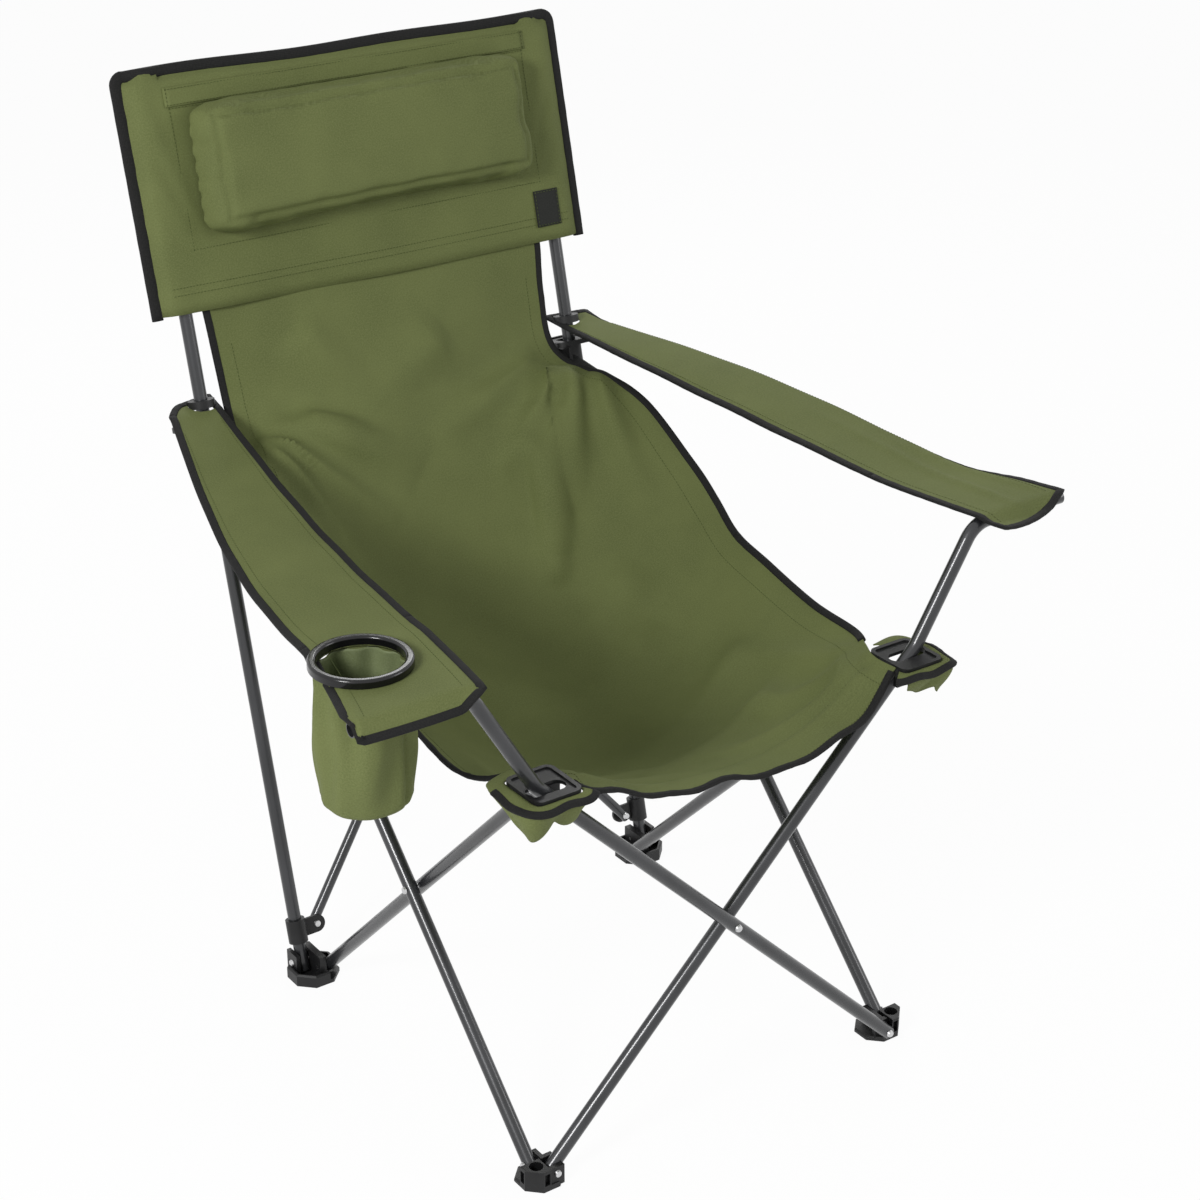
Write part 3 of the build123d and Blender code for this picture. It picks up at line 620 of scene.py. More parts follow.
def between(stations, steps):
    """Smooth in-between stations."""
    rows = np.array([stations[0], *stations, stations[-1]], float)
    out = []
    for a, b, c, d in zip(rows, rows[1:], rows[2:], rows[3:]):
        for t in np.arange(steps) / steps:
            out.append(0.5 * (2 * b + (c - a) * t + (2 * a - 5 * b + 4 * c - d) * t**2
                              + (3 * b - a - 3 * c + d) * t**3))
    return np.array([*out, rows[-1]])


def section(half, y, z, rise, tilt):
    """Points of an arc across the cloth."""
    shares = np.linspace(1, -1, SLING_COLUMNS)
    turn = 2 * math.atan2(rise, half)
    radius = half / math.sin(turn)
    lift = radius * (1 - np.cos(shares * turn))
    tilt = math.radians(tilt)
    x = radius * np.sin(shares * turn)
    return xyz(x, y - math.sin(tilt) * lift, z + math.cos(tilt) * lift)


sling = np.array([section(*row) for row in between(STATIONS, SLING_STEPS)])
station = np.arange(len(sling))[:, None] / SLING_STEPS
across = np.linspace(1, -1, SLING_COLUMNS)[None]


def around(middle, spread_out):
    """One at a station and fading to nothing beside it."""
    return bell(station - middle, spread_out)


LEFT_HANG_DROP, LEFT_HANG_OUT, RIGHT_FULLER, TOP_SHIFT = 0.024, 0.010, 0.009, 0.005
FRONT_PULL_OUT, FRONT_PULL_DOWN = 0.009, 0.005
left_hang = around(10.7, 1.1) * climb(-across, 0.25, 0.75) ** 1.5
right_side = np.clip(across, 0, 1) ** 1.5
front_pull = around(13.0, 1.1) * np.sin(np.pi * np.clip(right_side * 1.06, 0, 1))
sling[..., 2] -= LEFT_HANG_DROP * left_hang
sling[..., 0] -= LEFT_HANG_OUT * left_hang
sling[..., 0] += RIGHT_FULLER * around(5.2, 1.6) * right_side
sling[..., 0] -= TOP_SHIFT * climb(-station, -5.0, 1.5)
sling[..., 1] -= FRONT_PULL_OUT * front_pull
sling[..., 2] -= FRONT_PULL_DOWN * front_pull
print("sling grid", sling.shape, "area", round(area(sling), 3))

# %% [markdown]
# The cloth is slack, so weight has left soft hollows in it, and the four corners pull folds to the middle.
# Each fold has its first and last place, its width and its height. A sewn line runs behind the front edge,
# where the cloth is doubled.

# %% Folds in the sling
def at(number, share):
    """Point of the sling at a station number and a share across."""
    row = int(round(number * SLING_STEPS))
    return sling[row, int(round((1 - share) / 2 * (SLING_COLUMNS - 1)))]


FAR_SIDE_HEIGHT, FAR_SIDE_LONGER = 0.8, 0.3
CORNER_FOLDS = [
    (3.4, 0.95, 6.1, 0.50, 0.017, 0.0250), (3.5, 0.90, 5.4, 0.26, 0.015, 0.02125),
    (3.8, 0.97, 6.6, 0.74, 0.016, 0.01875), (3.1, 0.88, 4.6, 0.02, 0.019, 0.0150),
    (11.8, 0.98, 10.2, 0.40, 0.016, 0.01875), (11.9, 0.96, 11.0, 0.10, 0.014, 0.0175),
    (11.6, 0.98, 9.4, 0.66, 0.017, 0.0150), (12.2, 0.94, 11.9, 0.30, 0.012, 0.0125)]
SOFT_FOLDS = [
    (4.4, 0.66, 6.5, 0.34, 0.018, 0.0182), (4.9, 0.44, 6.6, 0.40, 0.016, 0.0169),
    (6.9, 0.30, 5.6, 0.46, 0.016, 0.0143), (3.2, -0.70, 5.2, -0.10, 0.026, 0.0169),
    (2.2, 0.30, 3.6, -0.30, 0.028, 0.0117), (1.6, -0.55, 3.4, -0.20, 0.026, 0.0117),
    (5.2, -0.86, 7.6, -0.36, 0.030, 0.0182), (6.6, -0.80, 8.6, -0.20, 0.026, 0.0156),
    (7.2, 0.62, 8.2, 0.10, 0.028, 0.0130), (8.2, 0.55, 8.9, -0.15, 0.026, 0.0130),
    (9.4, 0.75, 10.2, -0.10, 0.022, 0.0143), (10.3, 0.70, 11.0, -0.20, 0.020, 0.0143),
    (11.2, -0.80, 10.6, -0.05, 0.020, 0.0130), (7.6, -0.30, 8.8, 0.30, 0.030, 0.0117)]
for first, share, last, to_share, width, height in CORNER_FOLDS:
    sling = fold(sling, at(first, share), at(last, to_share), width, height)
    far_end = at(last + FAR_SIDE_LONGER, -to_share)
    sling = fold(sling, at(first, -share), far_end, width, height * FAR_SIDE_HEIGHT)
for first, share, last, to_share, width, height in SOFT_FOLDS:
    sling = fold(sling, at(first, share), at(last, to_share), width, height)
SLOW_WAVES = [(11.0, 7.0, 0.4, 0.0040), (-6.0, 13.0, 1.9, 0.0032), (17.0, -9.0, 3.1, 0.0022),
              (4.0, 21.0, 0.9, 0.0018)]
TUCKED_ROWS, TUCK, WAVE_ROWS = 15, 0.0030, 24
EDGE_ROWS, EDGE_WAVE, EDGE_RIPPLE = 9.0, 0.0035, 0.002
HEM_STATION, HEM_BEND, HEM_DENT, HEM_WIDE, STATION_STEP = 11.75, 0.35, 0.0022, 0.005, 0.05
flat = spread(sling)
inside = 1 - np.abs(across[0]) ** 6
waves = sum(size * np.sin(flat[..., 0] * a + flat[..., 1] * b + turn) for a, b, turn, size in SLOW_WAVES)
below_sleeve = climb(np.arange(len(sling)), TUCKED_ROWS, WAVE_ROWS)[:, None]
sling = sling + facing(sling) * (waves * inside * below_sleeve)[..., None]
tucked = (1 - np.arange(TUCKED_ROWS) / TUCKED_ROWS)[:, None, None]
sling[:TUCKED_ROWS] += (on_back(0.0, TUCK, 0.0) - on_back(0.0, 0.0, 0.0)) * tucked
edge_near = bell(np.arange(len(sling))[::-1], EDGE_ROWS)
edge_flat = flat[-1, :, 0]
edge_wave = EDGE_WAVE * np.sin(edge_flat * 44.0 + 0.6) + EDGE_RIPPLE * np.sin(edge_flat * 83.0)
sling[..., 2] += edge_near[:, None] * (edge_wave * inside)[None]
hem_row = HEM_STATION + HEM_BEND * across[0] ** 2
hem_off = (station - hem_row[None]) * STATION_STEP
sling = sling - facing(sling) * (HEM_DENT * bell(hem_off, HEM_WIDE))[..., None]

# %% Sling cloth and its tape
low_row = LOW_STATION * SLING_STEPS
back_grid, seat_grid = sling[:low_row + 1], sling[low_row:]
smooth = facing(sling)
back_cloth = cloth("sling_back_cloth", back_grid, lining=OLIVE_INSIDE, normals=smooth[:low_row + 1])
seat_cloth = cloth("sling_seat_cloth", seat_grid, lining=OLIVE_INSIDE, normals=smooth[low_row:])
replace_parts(ride_back(back_cloth), "sling_back")
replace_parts(ride_seat(seat_cloth), "sling_seat")


def edges(grid):
    return [(grid[:, 0], grid[:, 1] - grid[:, 0]), (grid[:, -1], grid[:, -2] - grid[:, -1])]


PLATE_ROW = int(11.45 * SLING_STEPS) - low_row
back_tape = ride_back(tape("sling_back_tape", edges(back_grid)))
front_run = (seat_grid[-1, 1:-1], (seat_grid[-2] - seat_grid[-1])[1:-1])
seat_tape = tape("sling_seat_tape", edges(seat_grid[:PLATE_ROW]) + [front_run], thick=0.0056)
ride_seat(seat_tape)
print("back area", round(area(back_grid), 3), "seat area", round(area(seat_grid), 3))

# %% [markdown]
# Where the back turns into the seat, a black sheet fills the corner between the taped edge and the rear
# bracket. It is painted shade, standing in for the shadowed underside and the dark plate seen in that corner.

# %% Rear corner sheets of painted shade
WEB_ROWS = slice(int(3.0 * SLING_STEPS), int(5.1 * SLING_STEPS))
WEB_HOLDER = (0.2620, REAR_Y - 0.004, REAR_Z - 0.020)
SHADE_WEB_SHEETS = {}
for side, sx, edge_column in (("left", -1, -1), ("right", 1, 0)):
    curve = sling[WEB_ROWS, edge_column]
    holder = np.array(WEB_HOLDER) * (sx, 1, 1)
    straight = holder + (curve[-1] - holder) * down(len(curve)) ** 0.8
    web = curve[:, None] + (straight - curve)[:, None] * sideways(7)[..., None]
    web = web[:, ::-1] if sx > 0 else web
    # A black sheet in the tape finish: painted shade for the shadowed corner behind the rear bracket.
    shade_web_cloth = ride_back(cloth(f"rear_shade_web_{side}", web, TAPE))
    SHADE_WEB_SHEETS[side] = (shade_web_cloth, area(web))
    print("web", side, round(area(web), 4))

# %% [markdown]
# ## The headrest
# A flat sleeve is pulled over the tops of the uprights. Its two panels swell over the tubes and meet in a
# taped edge at the sides and the top, while the lower hem hangs free in front of the sling.

# %% Headrest panels
SLEEVE_FROM, SLEEVE_TO, SLEEVE_HALF = 0.812, 1.091, 0.300
SLEEVE_SWELL, SLEEVE_CORNER = 0.0132, 0.015
SLEEVE_ROUND_X, SLEEVE_ROUND_TOP = 0.262, 0.030
SLEEVE_SHIFT, SLEEVE_DROP, SLEEVE_FLAT = 0.0005, 0.004, 0.012


def side_drop(x):
    """The sleeve sits a little lower on the right upright."""
    return SLEEVE_DROP * climb(x, -0.1, 0.4)


def sleeve_top(x):
    """Height of the taped top edge: straight, with rounded corners and a slight wave."""
    past = np.clip(np.abs(x) - (SLEEVE_HALF - SLEEVE_CORNER), 0, SLEEVE_CORNER)
    drop = SLEEVE_CORNER - np.sqrt(SLEEVE_CORNER**2 - past**2)
    return SLEEVE_TO - drop - 0.0025 * np.cos(x / SLEEVE_HALF * 1.5) ** 2 + 0.0012 * np.sin(x * 23.0)


def over_tube(x):
    """One over the middle of an upright and nothing beside it."""
    return np.exp(-((np.abs(x + SLEEVE_SHIFT) - UPRIGHT_X) / 0.015) ** 4)


def sleeve_panel(front):
    """Grid of one panel: front is 1 for the side with the pillow and -1 for the rear."""
    x = np.linspace(-SLEEVE_HALF, SLEEVE_HALF, 97)[None, :]
    share = down(49) ** 0.8
    along = SLEEVE_FROM + (sleeve_top(x) - SLEEVE_FROM) * share
    side = climb(np.abs(x), SLEEVE_ROUND_X, SLEEVE_HALF - SLEEVE_FLAT - SLEEVE_ROUND_X)
    flat_top = SLEEVE_FLAT - 0.009 * over_tube(x)
    high = np.clip((along - sleeve_top(x) + flat_top + SLEEVE_ROUND_TOP) / SLEEVE_ROUND_TOP, 0, 1)
    swell = SLEEVE_SWELL * (1 - side**2.5) ** 0.4 * (1 - high**4) ** 0.25
    slack = (1 - side) * (1 - high) * climb(UPRIGHT_X - 0.02, np.abs(x), 0.03)
    ripple = 0.0010 * np.sin(x * 31.0 + along * 17.0) + 0.0007 * np.sin(x * 12.0 - along * 41.0)
    hem = 0.0022 * np.sin(x * 19.0 + 0.5) * bell(along - SLEEVE_FROM, 0.05)
    depth = np.maximum(swell + (ripple + hem * front) * slack, 0.0009)
    sag = 0.003 * np.cos(x / SLEEVE_HALF * np.pi / 2) * (1 - share)
    return on_back(x + SLEEVE_SHIFT, -front * depth, along - sag - side_drop(x))


front_panel = sleeve_panel(1)
for side in (-1, 1):
    for low, high, lift in ((0.83, 0.98, 0.0018), (0.86, 1.04, 0.0022), (0.90, 1.07, 0.0015)):
        start = on_back(side * 0.276, -0.011, high)
        end = on_back(side * (0.245 - 0.03 * lift / 0.002), -0.013, low)
        front_panel = fold(front_panel, start, end, 0.006, lift)
rear_panel = sleeve_panel(-1)
headrest_front = ride_back(cloth("headrest_front", front_panel))
headrest_rear = ride_back(cloth("headrest_rear", rear_panel))
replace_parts(headrest_front, "headrest_sleeve")
print("headrest panels", round(area(front_panel), 3), round(area(rear_panel), 3))

# %% Headrest tape
HEADREST_TAPE_WIDTH, HEADREST_TAPE_THICK, TUBE_TOP_BULGE = 0.0135, 0.0078, 0.0125
top_x = np.linspace(-SLEEVE_HALF + SLEEVE_CORNER, SLEEVE_HALF - SLEEVE_CORNER, 60)
corner_x = SLEEVE_HALF - SLEEVE_CORNER * (1 - np.cos(np.linspace(0, np.pi / 2, 8)[1:-1]))
wall = np.linspace(SLEEVE_FROM - 0.003, SLEEVE_TO - SLEEVE_CORNER, 30)
wall_x = np.full(len(wall), SLEEVE_HALF)
run_x = np.concatenate([-wall_x, -corner_x, top_x, corner_x[::-1], wall_x])
bend = sleeve_top(corner_x)
run_along = np.concatenate([wall, bend, sleeve_top(top_x), bend[::-1], wall[::-1]])
headrest_path = on_back(run_x + SLEEVE_SHIFT, 0.0, run_along - side_drop(run_x))
headrest_in = on_back(0.0, 0.0, 0.96) - headrest_path
at_wall = np.abs(run_x) > SLEEVE_HALF - 1e-6
headrest_in[at_wall] = 0.0
headrest_in[at_wall, 0] = -np.sign(run_x[at_wall])
tape_thick = HEADREST_TAPE_THICK + np.where(at_wall, 0.0, TUBE_TOP_BULGE * over_tube(run_x))
headrest_runs = [(headrest_path, headrest_in)]
headrest_tape = tape("headrest_tape", headrest_runs, width=HEADREST_TAPE_WIDTH, thick=tape_thick)
ride_back(headrest_tape)

# %% [markdown]
# ## The pillow
# The pillow is a sewn box with gussets: stuffing swells its face and sides while the seams hold the edges in.
# A rounded box is remeshed and blown up a little with Cloth pressure, with its back held on the headrest, and
# the seams are drawn in afterwards.

# %% Pillow form
PILLOW_MIDDLE, PILLOW_LONG, PILLOW_TALL, PILLOW_DEEP = 0.971, 0.452, 0.154, 0.040
PILLOW_BACK, PILLOW_VOXEL, PILLOW_MOVE = 0.0150, 0.005, 0.006
HELD_DEPTH, PILLOW_PRESSURE, SWELL_STEPS = 0.004, 3.0, 20


def to_back(points):
    """Across, in front of and along the uprights, for points of the scene."""
    y, z = points[..., 1] - PIVOT_Y, points[..., 2] - PIVOT_Z
    rear = y * np.cos(LEAN) - z * np.sin(LEAN)
    along = y * np.sin(LEAN) + z * np.cos(LEAN)
    return xyz(points[..., 0], -rear, along)


box = bmesh.new()
bmesh.ops.create_cube(box, size=1.0)
bmesh.ops.bevel(box, geom=box.edges[:], offset=0.12, offset_type="OFFSET", segments=3, affect="EDGES",
                profile=0.6)
for vert in box.verts:
    lift = vert.co.y + 0.5
    taper = 1 - 0.10 * max(0.0, lift - 0.4)
    place = on_back(vert.co.x * PILLOW_LONG * taper, -(PILLOW_BACK + lift * PILLOW_DEEP),
                    PILLOW_MIDDLE + vert.co.z * PILLOW_TALL * taper)
    vert.co = Vector(place)
pillow_mesh = bpy.data.meshes.new("headrest_pillow_cover")
box.to_mesh(pillow_mesh)
box.free()
pillow = placed("headrest_pillow_cover", pillow_mesh)
voxels = pillow.modifiers.new("remesh", "REMESH")
voxels.mode = "VOXEL"
voxels.voxel_size = PILLOW_VOXEL
plain_mesh(pillow)

# %% Pillow blown up
still = mesh_points(pillow.data)
local = to_back(still)
held = pillow.vertex_groups.new(name="held")
held.add([int(i) for i in np.where(local[:, 1] < PILLOW_BACK + HELD_DEPTH)[0]], 1.0, "REPLACE")
swell = pillow.modifiers.new("swell", "CLOTH")
swell.settings.vertex_group_mass = "held"
swell.settings.quality = 6
swell.settings.use_pressure = True
swell.settings.uniform_pressure_force = PILLOW_PRESSURE
swell.settings.shrink_min = -0.02
swell.settings.effector_weights.gravity = 0.0
swell.collision_settings.use_collision = False
for step in range(1, SWELL_STEPS + 1):
    scene.frame_set(step)
plain_mesh(pillow)
scene.frame_set(1)
moved = mesh_points(pillow.data) - still
far = length(moved)[:, None]
set_points(pillow.data, still + moved * np.minimum(1.0, PILLOW_MOVE / np.maximum(far, 1e-9)))
print("pillow moved up to", round(float(far.max()), 4))
even = pillow.modifiers.new("even", "SMOOTH")
even.factor, even.iterations = 0.5, 5
fine = pillow.modifiers.new("fine", "SUBSURF")
fine.levels = fine.render_levels = 1
plain_mesh(pillow)

# %% [markdown]
# The seams run round the face. The cover is drawn in along them, with small puckers where the thread gathers
# the cloth.

# %% Pillow seams
SEAM_LONG, SEAM_TALL, SEAM_WIDE, SEAM_DEEP = 0.206, 0.060, 0.0042, 0.0035
END_PUCKER, LONG_PUCKER, SOFT_DENT = 0.0014, 0.0008, 0.0018
local = to_back(mesh_points(pillow.data))
face_x = np.abs(local[:, 0]) - SEAM_LONG
face_z = np.abs(local[:, 2] - PILLOW_MIDDLE) - SEAM_TALL
ring = np.where((face_x < 0) & (face_z < 0), np.maximum(face_x, face_z),
                np.hypot(np.maximum(face_x, 0), np.maximum(face_z, 0)))
x, deep, tall = local.T
in_front = climb(deep - PILLOW_BACK, 0.012, 0.012)
groove = bell(ring, SEAM_WIDE) * in_front
ends = bell(face_x, 0.03)
pucker = END_PUCKER * np.sin(tall * 120.0 + np.sign(x) * 1.1 + 9.0 * deep) * ends
pucker += LONG_PUCKER * np.sin(x * 61.0 + 2.0 * np.sin(x * 17.0)) * bell(face_z, 0.02)
dents = SOFT_DENT * np.sin(x * 14.0 + 0.7) * np.sin(tall * 33.0) - SEAM_DEEP * groove + pucker * in_front
normals = np.empty(len(pillow.data.vertices) * 3)
pillow.data.vertices.foreach_get("normal", normals)
free = climb(deep - PILLOW_BACK, 0.001, 0.008)
set_points(pillow.data, mesh_points(pillow.data) + normals.reshape(-1, 3) * (dents * free)[:, None])
pillow.data.materials.clear()
pillow.data.materials.append(OLIVE)
x, deep, tall = to_back(mesh_points(pillow.data)).T
add_uv(pillow.data, np.stack([x + 0.6 * deep, tall + 0.6 * deep], -1))
ride_back(pillow)
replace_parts(pillow, "headrest_pillow")
print("pillow", len(pillow.data.polygons), "faces")

# %% [markdown]
# A doubled strip is sewn above the pillow and a plain dark patch sits at the lower right of the headrest.

# %% Strip and patch
def laid_strip(name, x_range, along_range, rise, material, columns=60, rows=8, wave=0.0006):
    """Thin cloth laid on the front of the headrest."""
    x = np.linspace(*x_range, columns)[None, :]
    along = np.linspace(*along_range, rows)[:, None]
    ripple = wave * np.sin(x * 40.0 + along * 60.0)
    grid = on_back(x, -(SLEEVE_SWELL + rise + ripple), along + 0 * x)
    return grid, cloth(name, grid, material, thick=0.0014)


strip_grid, headrest_strip = laid_strip("headrest_strip", (-0.246, 0.246), (1.046, 1.068), 0.0016, OLIVE)
patch_grid, patch = laid_strip("headrest_plain_patch", (0.2285, 0.2635), (0.826, 0.871), 0.0022, PATCH,
                               16, 16, 0.0003)
ride_back(headrest_strip)
ride_back(patch)
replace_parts(patch, "headrest_patch")

# %% [markdown]
# ## The arms
# Each arm is a tapering strip. It is level over the post bar, then climbs to a plastic eyelet on the upright.
# The left one has a round hole for the cup ring. Both are taped all round and their front edges droop. The
# front run swings with the post. The rear run stays on the eyelet.

# %% Arm strips
ARM_FRONT_Y, ARM_BACK_Y, ARM_FRONT_Z, ARM_REAR_Z = -0.4159, 0.3286, 0.65255, 0.70310
ARM_LEVEL, ARM_SAG, ARM_FLARE = 0.24, 0.004, 0.85
ARM_TIP_X, ARM_REAR_IN, ARM_REAR_OUT = 0.484, 0.241, 0.299
CUP_X, CUP_Y, CUP_HOLE = -0.403, -0.2959, 0.0447
EYELET_HOLE = 0.0172
EYELET_PLACE = on_back(UPRIGHT_X, 0.0, 0.704)
ARM_ROWS, ARM_COLUMNS, ARM_SPLIT_ROW, ARM_SPLIT_Y = 121, 33, 30, -0.225
RIGHT_WIDTH, RIGHT_BAR_FRONT, LEFT_WIDTH, LEFT_BAR_FRONT, DROOP_RUN = 0.134, -0.376, 0.152, -0.393, 0.013
TWIST_MIDDLE, CUP_NEAR, ARM_FOLD_WIDTH = 0.45, 0.075, 0.007
RIGHT_RISE, RIGHT_TWIST, RIGHT_ROUND, RIGHT_CURL = 0.015, 0.018, 0.003, 0.014
RIGHT_DROOP, RIGHT_WAVE = 0.010, 0.0005
LEFT_SAG, LEFT_TWIST, LEFT_ROUND, LEFT_BULGE = 0.018, 0.012, 0.004, 0.014
LEFT_DROOP, LEFT_WAVE, LEFT_CORNER_DROP = 0.017, 0.0008, 0.006


def arm_grid(width, front_line, back_line, droop_from):
    """Grid of an arm strip for the right side, from its front edge to the eyelet."""
    share = down(ARM_ROWS)
    over = sideways(ARM_COLUMNS)
    ahead = np.minimum(share * (ARM_ROWS - 1) / ARM_SPLIT_ROW, 1)
    behind = np.maximum(share * (ARM_ROWS - 1) - ARM_SPLIT_ROW, 0) / (ARM_ROWS - 1 - ARM_SPLIT_ROW)
    y = front_line(over) + ahead * (ARM_SPLIT_Y - front_line(over)) + behind * (back_line(over) - ARM_SPLIT_Y)
    run = (y - ARM_FRONT_Y) / (ARM_BACK_Y - ARM_FRONT_Y)
    raised = climb(run, ARM_LEVEL, 1 - ARM_LEVEL)
    z = ARM_FRONT_Z + (ARM_REAR_Z - ARM_FRONT_Z) * raised - ARM_SAG * 4 * raised * (1 - raised)
    flare = 1 - np.clip(run, 0, 1) ** ARM_FLARE
    inner = ARM_REAR_IN + (ARM_TIP_X - width - ARM_REAR_IN) * flare
    outer = ARM_REAR_OUT + (ARM_TIP_X - ARM_REAR_OUT) * flare
    x = inner + (outer - inner) * over
    slack = np.sin(np.pi * climb(run, 0.2, 0.75))
    past_bar = climb(droop_from, y, DROOP_RUN)
    return x, y, z, over, run, slack, past_bar


def right_front(over):
    return -0.4110 + 0.034 * over**1.6


def right_back(over):
    return ARM_BACK_Y - 0.006 * over


x, y, z, over, run, slack, past_bar = arm_grid(RIGHT_WIDTH, right_front, right_back, RIGHT_BAR_FRONT)
z = z + slack * (RIGHT_RISE + RIGHT_TWIST * (over - TWIST_MIDDLE) - RIGHT_ROUND * (2 * over - 1) ** 2)
curl = climb(over, 0.86, 0.14) ** 1.5
z -= RIGHT_CURL * curl * climb(run, 0.12, 0.2) * climb(1, run, 0.12)
z += RIGHT_WAVE * np.sin(run * 37.0 + over * 5.0) * slack * np.abs(2 * over - 1)
z -= RIGHT_DROOP * past_bar**1.3 * np.sin(np.pi * np.clip(over * 0.9 + 0.05, 0, 1)) ** 0.6
right_arm_grid = xyz(x, y, z)
for start, end, lift in (((0.400, -0.386, 0.6525), (0.352, -0.060, 0.656), 0.0045),
                         ((0.452, -0.376, 0.6525), (0.385, -0.160, 0.655), 0.0035)):
    right_arm_grid = fold(right_arm_grid, np.array(start), np.array(end), ARM_FOLD_WIDTH, lift)


def left_front(over):
    """The front edge of the left arm bends round the cup ring at its outer corner."""
    return -0.4050 - 0.003 * np.sin(np.pi * over) + 0.040 * climb(over, 0.93, 0.07) ** 2


def left_back(over):
    return ARM_BACK_Y - 0.012 * over - 0.018 * climb(over, 0.7, 0.3) ** 2


x, y, z, over, run, slack, past_bar = arm_grid(LEFT_WIDTH, left_front, left_back, LEFT_BAR_FRONT)
x = x + LEFT_BULGE * over * slack
ring_near = np.exp(-(np.hypot(x + CUP_X, y - CUP_Y) / CUP_NEAR) ** 4)
hollow = LEFT_SAG + LEFT_TWIST * (over - TWIST_MIDDLE) + LEFT_ROUND * (2 * over - 1) ** 2
z = z - slack * hollow * (1 - ring_near)
z += LEFT_WAVE * np.sin(run * 41.0 + over * 4.0) * slack * np.abs(2 * over - 1) * (1 - ring_near)
z -= LEFT_DROOP * past_bar**1.3 * np.clip(over * 6, 0, 1)
z -= LEFT_CORNER_DROP * (climb(over, 0.94, 0.06) * climb(-0.20, y, 0.08))
left_arm_grid = xyz(-x, y, z)[:, ::-1]

# %% Arm cloth and tape
def front_binding(grid):
    """Tape run along one long edge, round the front and back along the other."""
    path = np.concatenate([grid[::-1, 0], grid[0, 1:-1], grid[:, -1]])
    left, ahead, right = grid[:, 1] - grid[:, 0], grid[1] - grid[0], grid[:, -2] - grid[:, -1]
    return path, np.concatenate([left[::-1], ahead[1:-1], right])


ARM_SHEETS = {}


def ride_loop(ob, side):
    """The rear run of an arm stays on its eyelet."""
    across = UPRIGHT_X if side == "right" else -UPRIGHT_X
    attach(ob, f"grommet_{side}")
    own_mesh(ob)


for side, sx, grid, cup in (("left", -1, left_arm_grid, True), ("right", 1, right_arm_grid, False)):
    front, strip = grid[:ARM_SPLIT_ROW + 1], grid[ARM_SPLIT_ROW:]
    smooth = facing(grid)
    eyelet = (sx * UPRIGHT_X, float(EYELET_PLACE[1]), EYELET_HOLE)
    front_cloth = cloth(f"arm_{side}_front", front, lining=OLIVE_INSIDE, normals=smooth[:ARM_SPLIT_ROW + 1],
                        hole=(CUP_X, CUP_Y, CUP_HOLE) if cup else None)
    strip_cloth = cloth(f"arm_{side}_strip", strip, lining=OLIVE_INSIDE, normals=smooth[ARM_SPLIT_ROW:],
                        hole=eyelet)
    front_tape = tape(f"arm_{side}_front_tape", [front_binding(front)])
    strip_tape = tape(f"arm_{side}_strip_tape", edges(strip) + [(strip[-1], strip[-2] - strip[-1])])
    for piece in (front_cloth, front_tape):
        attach(piece, f"arm_{side}")
    for piece in (strip_cloth, strip_tape):
        ride_loop(piece, side)
    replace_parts(front_cloth, f"arm_{side}")
    ARM_SHEETS[side] = (front_cloth, area(front), strip_cloth, area(strip), front_tape, strip_tape)
    print("arm", side, "areas", round(area(front), 4), round(area(strip), 4))

# %% [markdown]
# ## The cup pocket
# A gathered tube of the same cloth hangs under the ring. It is drawn in at the ring, bellies out lower down,
# has one upright seam and rounds off to a flat bottom.

# %% Cup pocket
POCKET_TOP, POCKET_BOTTOM, POCKET_R, POCKET_OVER = 0.6505, 0.5018, 0.0512, 0.0015
GATHER, BELLY, DRAWN_IN, SEAM_DENT, SEAM_PLACE, LEAN_WAVE = 0.0030, 0.0036, 0.003, 0.0060, 1.05, 0.002
turns = np.linspace(2 * np.pi, 0, 72, endpoint=False)[None, :]
levels = down(46)
round_off = climb(levels, 0.86, 0.14)
radius = POCKET_R * (0.955 + 0.045 * np.sin(np.pi * np.clip(levels * 1.15, 0, 1)))
radius = radius * (1 - 0.985 * round_off**3.2)
gathers = GATHER * np.sin(turns * 9 + 0.9 * np.sin(turns * 2)) * (1 - levels) ** 0.5
gathers = gathers + BELLY * np.sin(turns * 4 + levels * 5.0 + 0.8) * np.sin(np.pi * levels) - DRAWN_IN
seam_dent = -SEAM_DENT * bell(np.sin((turns + SEAM_PLACE) / 2), 0.040) * (1 - round_off)
spin = turns + 0.05 * np.sin(levels * 4.0)
radius = np.minimum(radius + (gathers + seam_dent) * (1 - round_off), POCKET_R + POCKET_OVER)
drop = POCKET_TOP + (POCKET_BOTTOM - POCKET_TOP) * np.minimum(levels / 0.94, 1.0 + 0 * levels)
drop = drop - LEAN_WAVE * np.sin(turns * 2) * np.sin(np.pi * levels)
pocket_x, pocket_y = CUP_X + radius * np.cos(spin), CUP_Y + radius * np.sin(spin)
pocket_grid = xyz(pocket_x, pocket_y, drop + 0 * turns)
bottom = pocket_grid[-1].mean(axis=0)
pocket_grid[-1] = bottom + (pocket_grid[-1] - bottom) * 0.2
pocket = cloth("cup_pocket_cloth", pocket_grid, OLIVE, OLIVE_INSIDE, wrap=True)
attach(pocket, "arm_left")
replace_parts(pocket, "cup_pocket")
print("pocket area", round(area(pocket_grid), 4))

# %% [markdown]
# ## Corners of the seat
# The front plates lie on the cloth, which goes on round their outer sides in a taped margin. Below it a small
# corner pocket hangs down, where the cloth is folded under the plate.

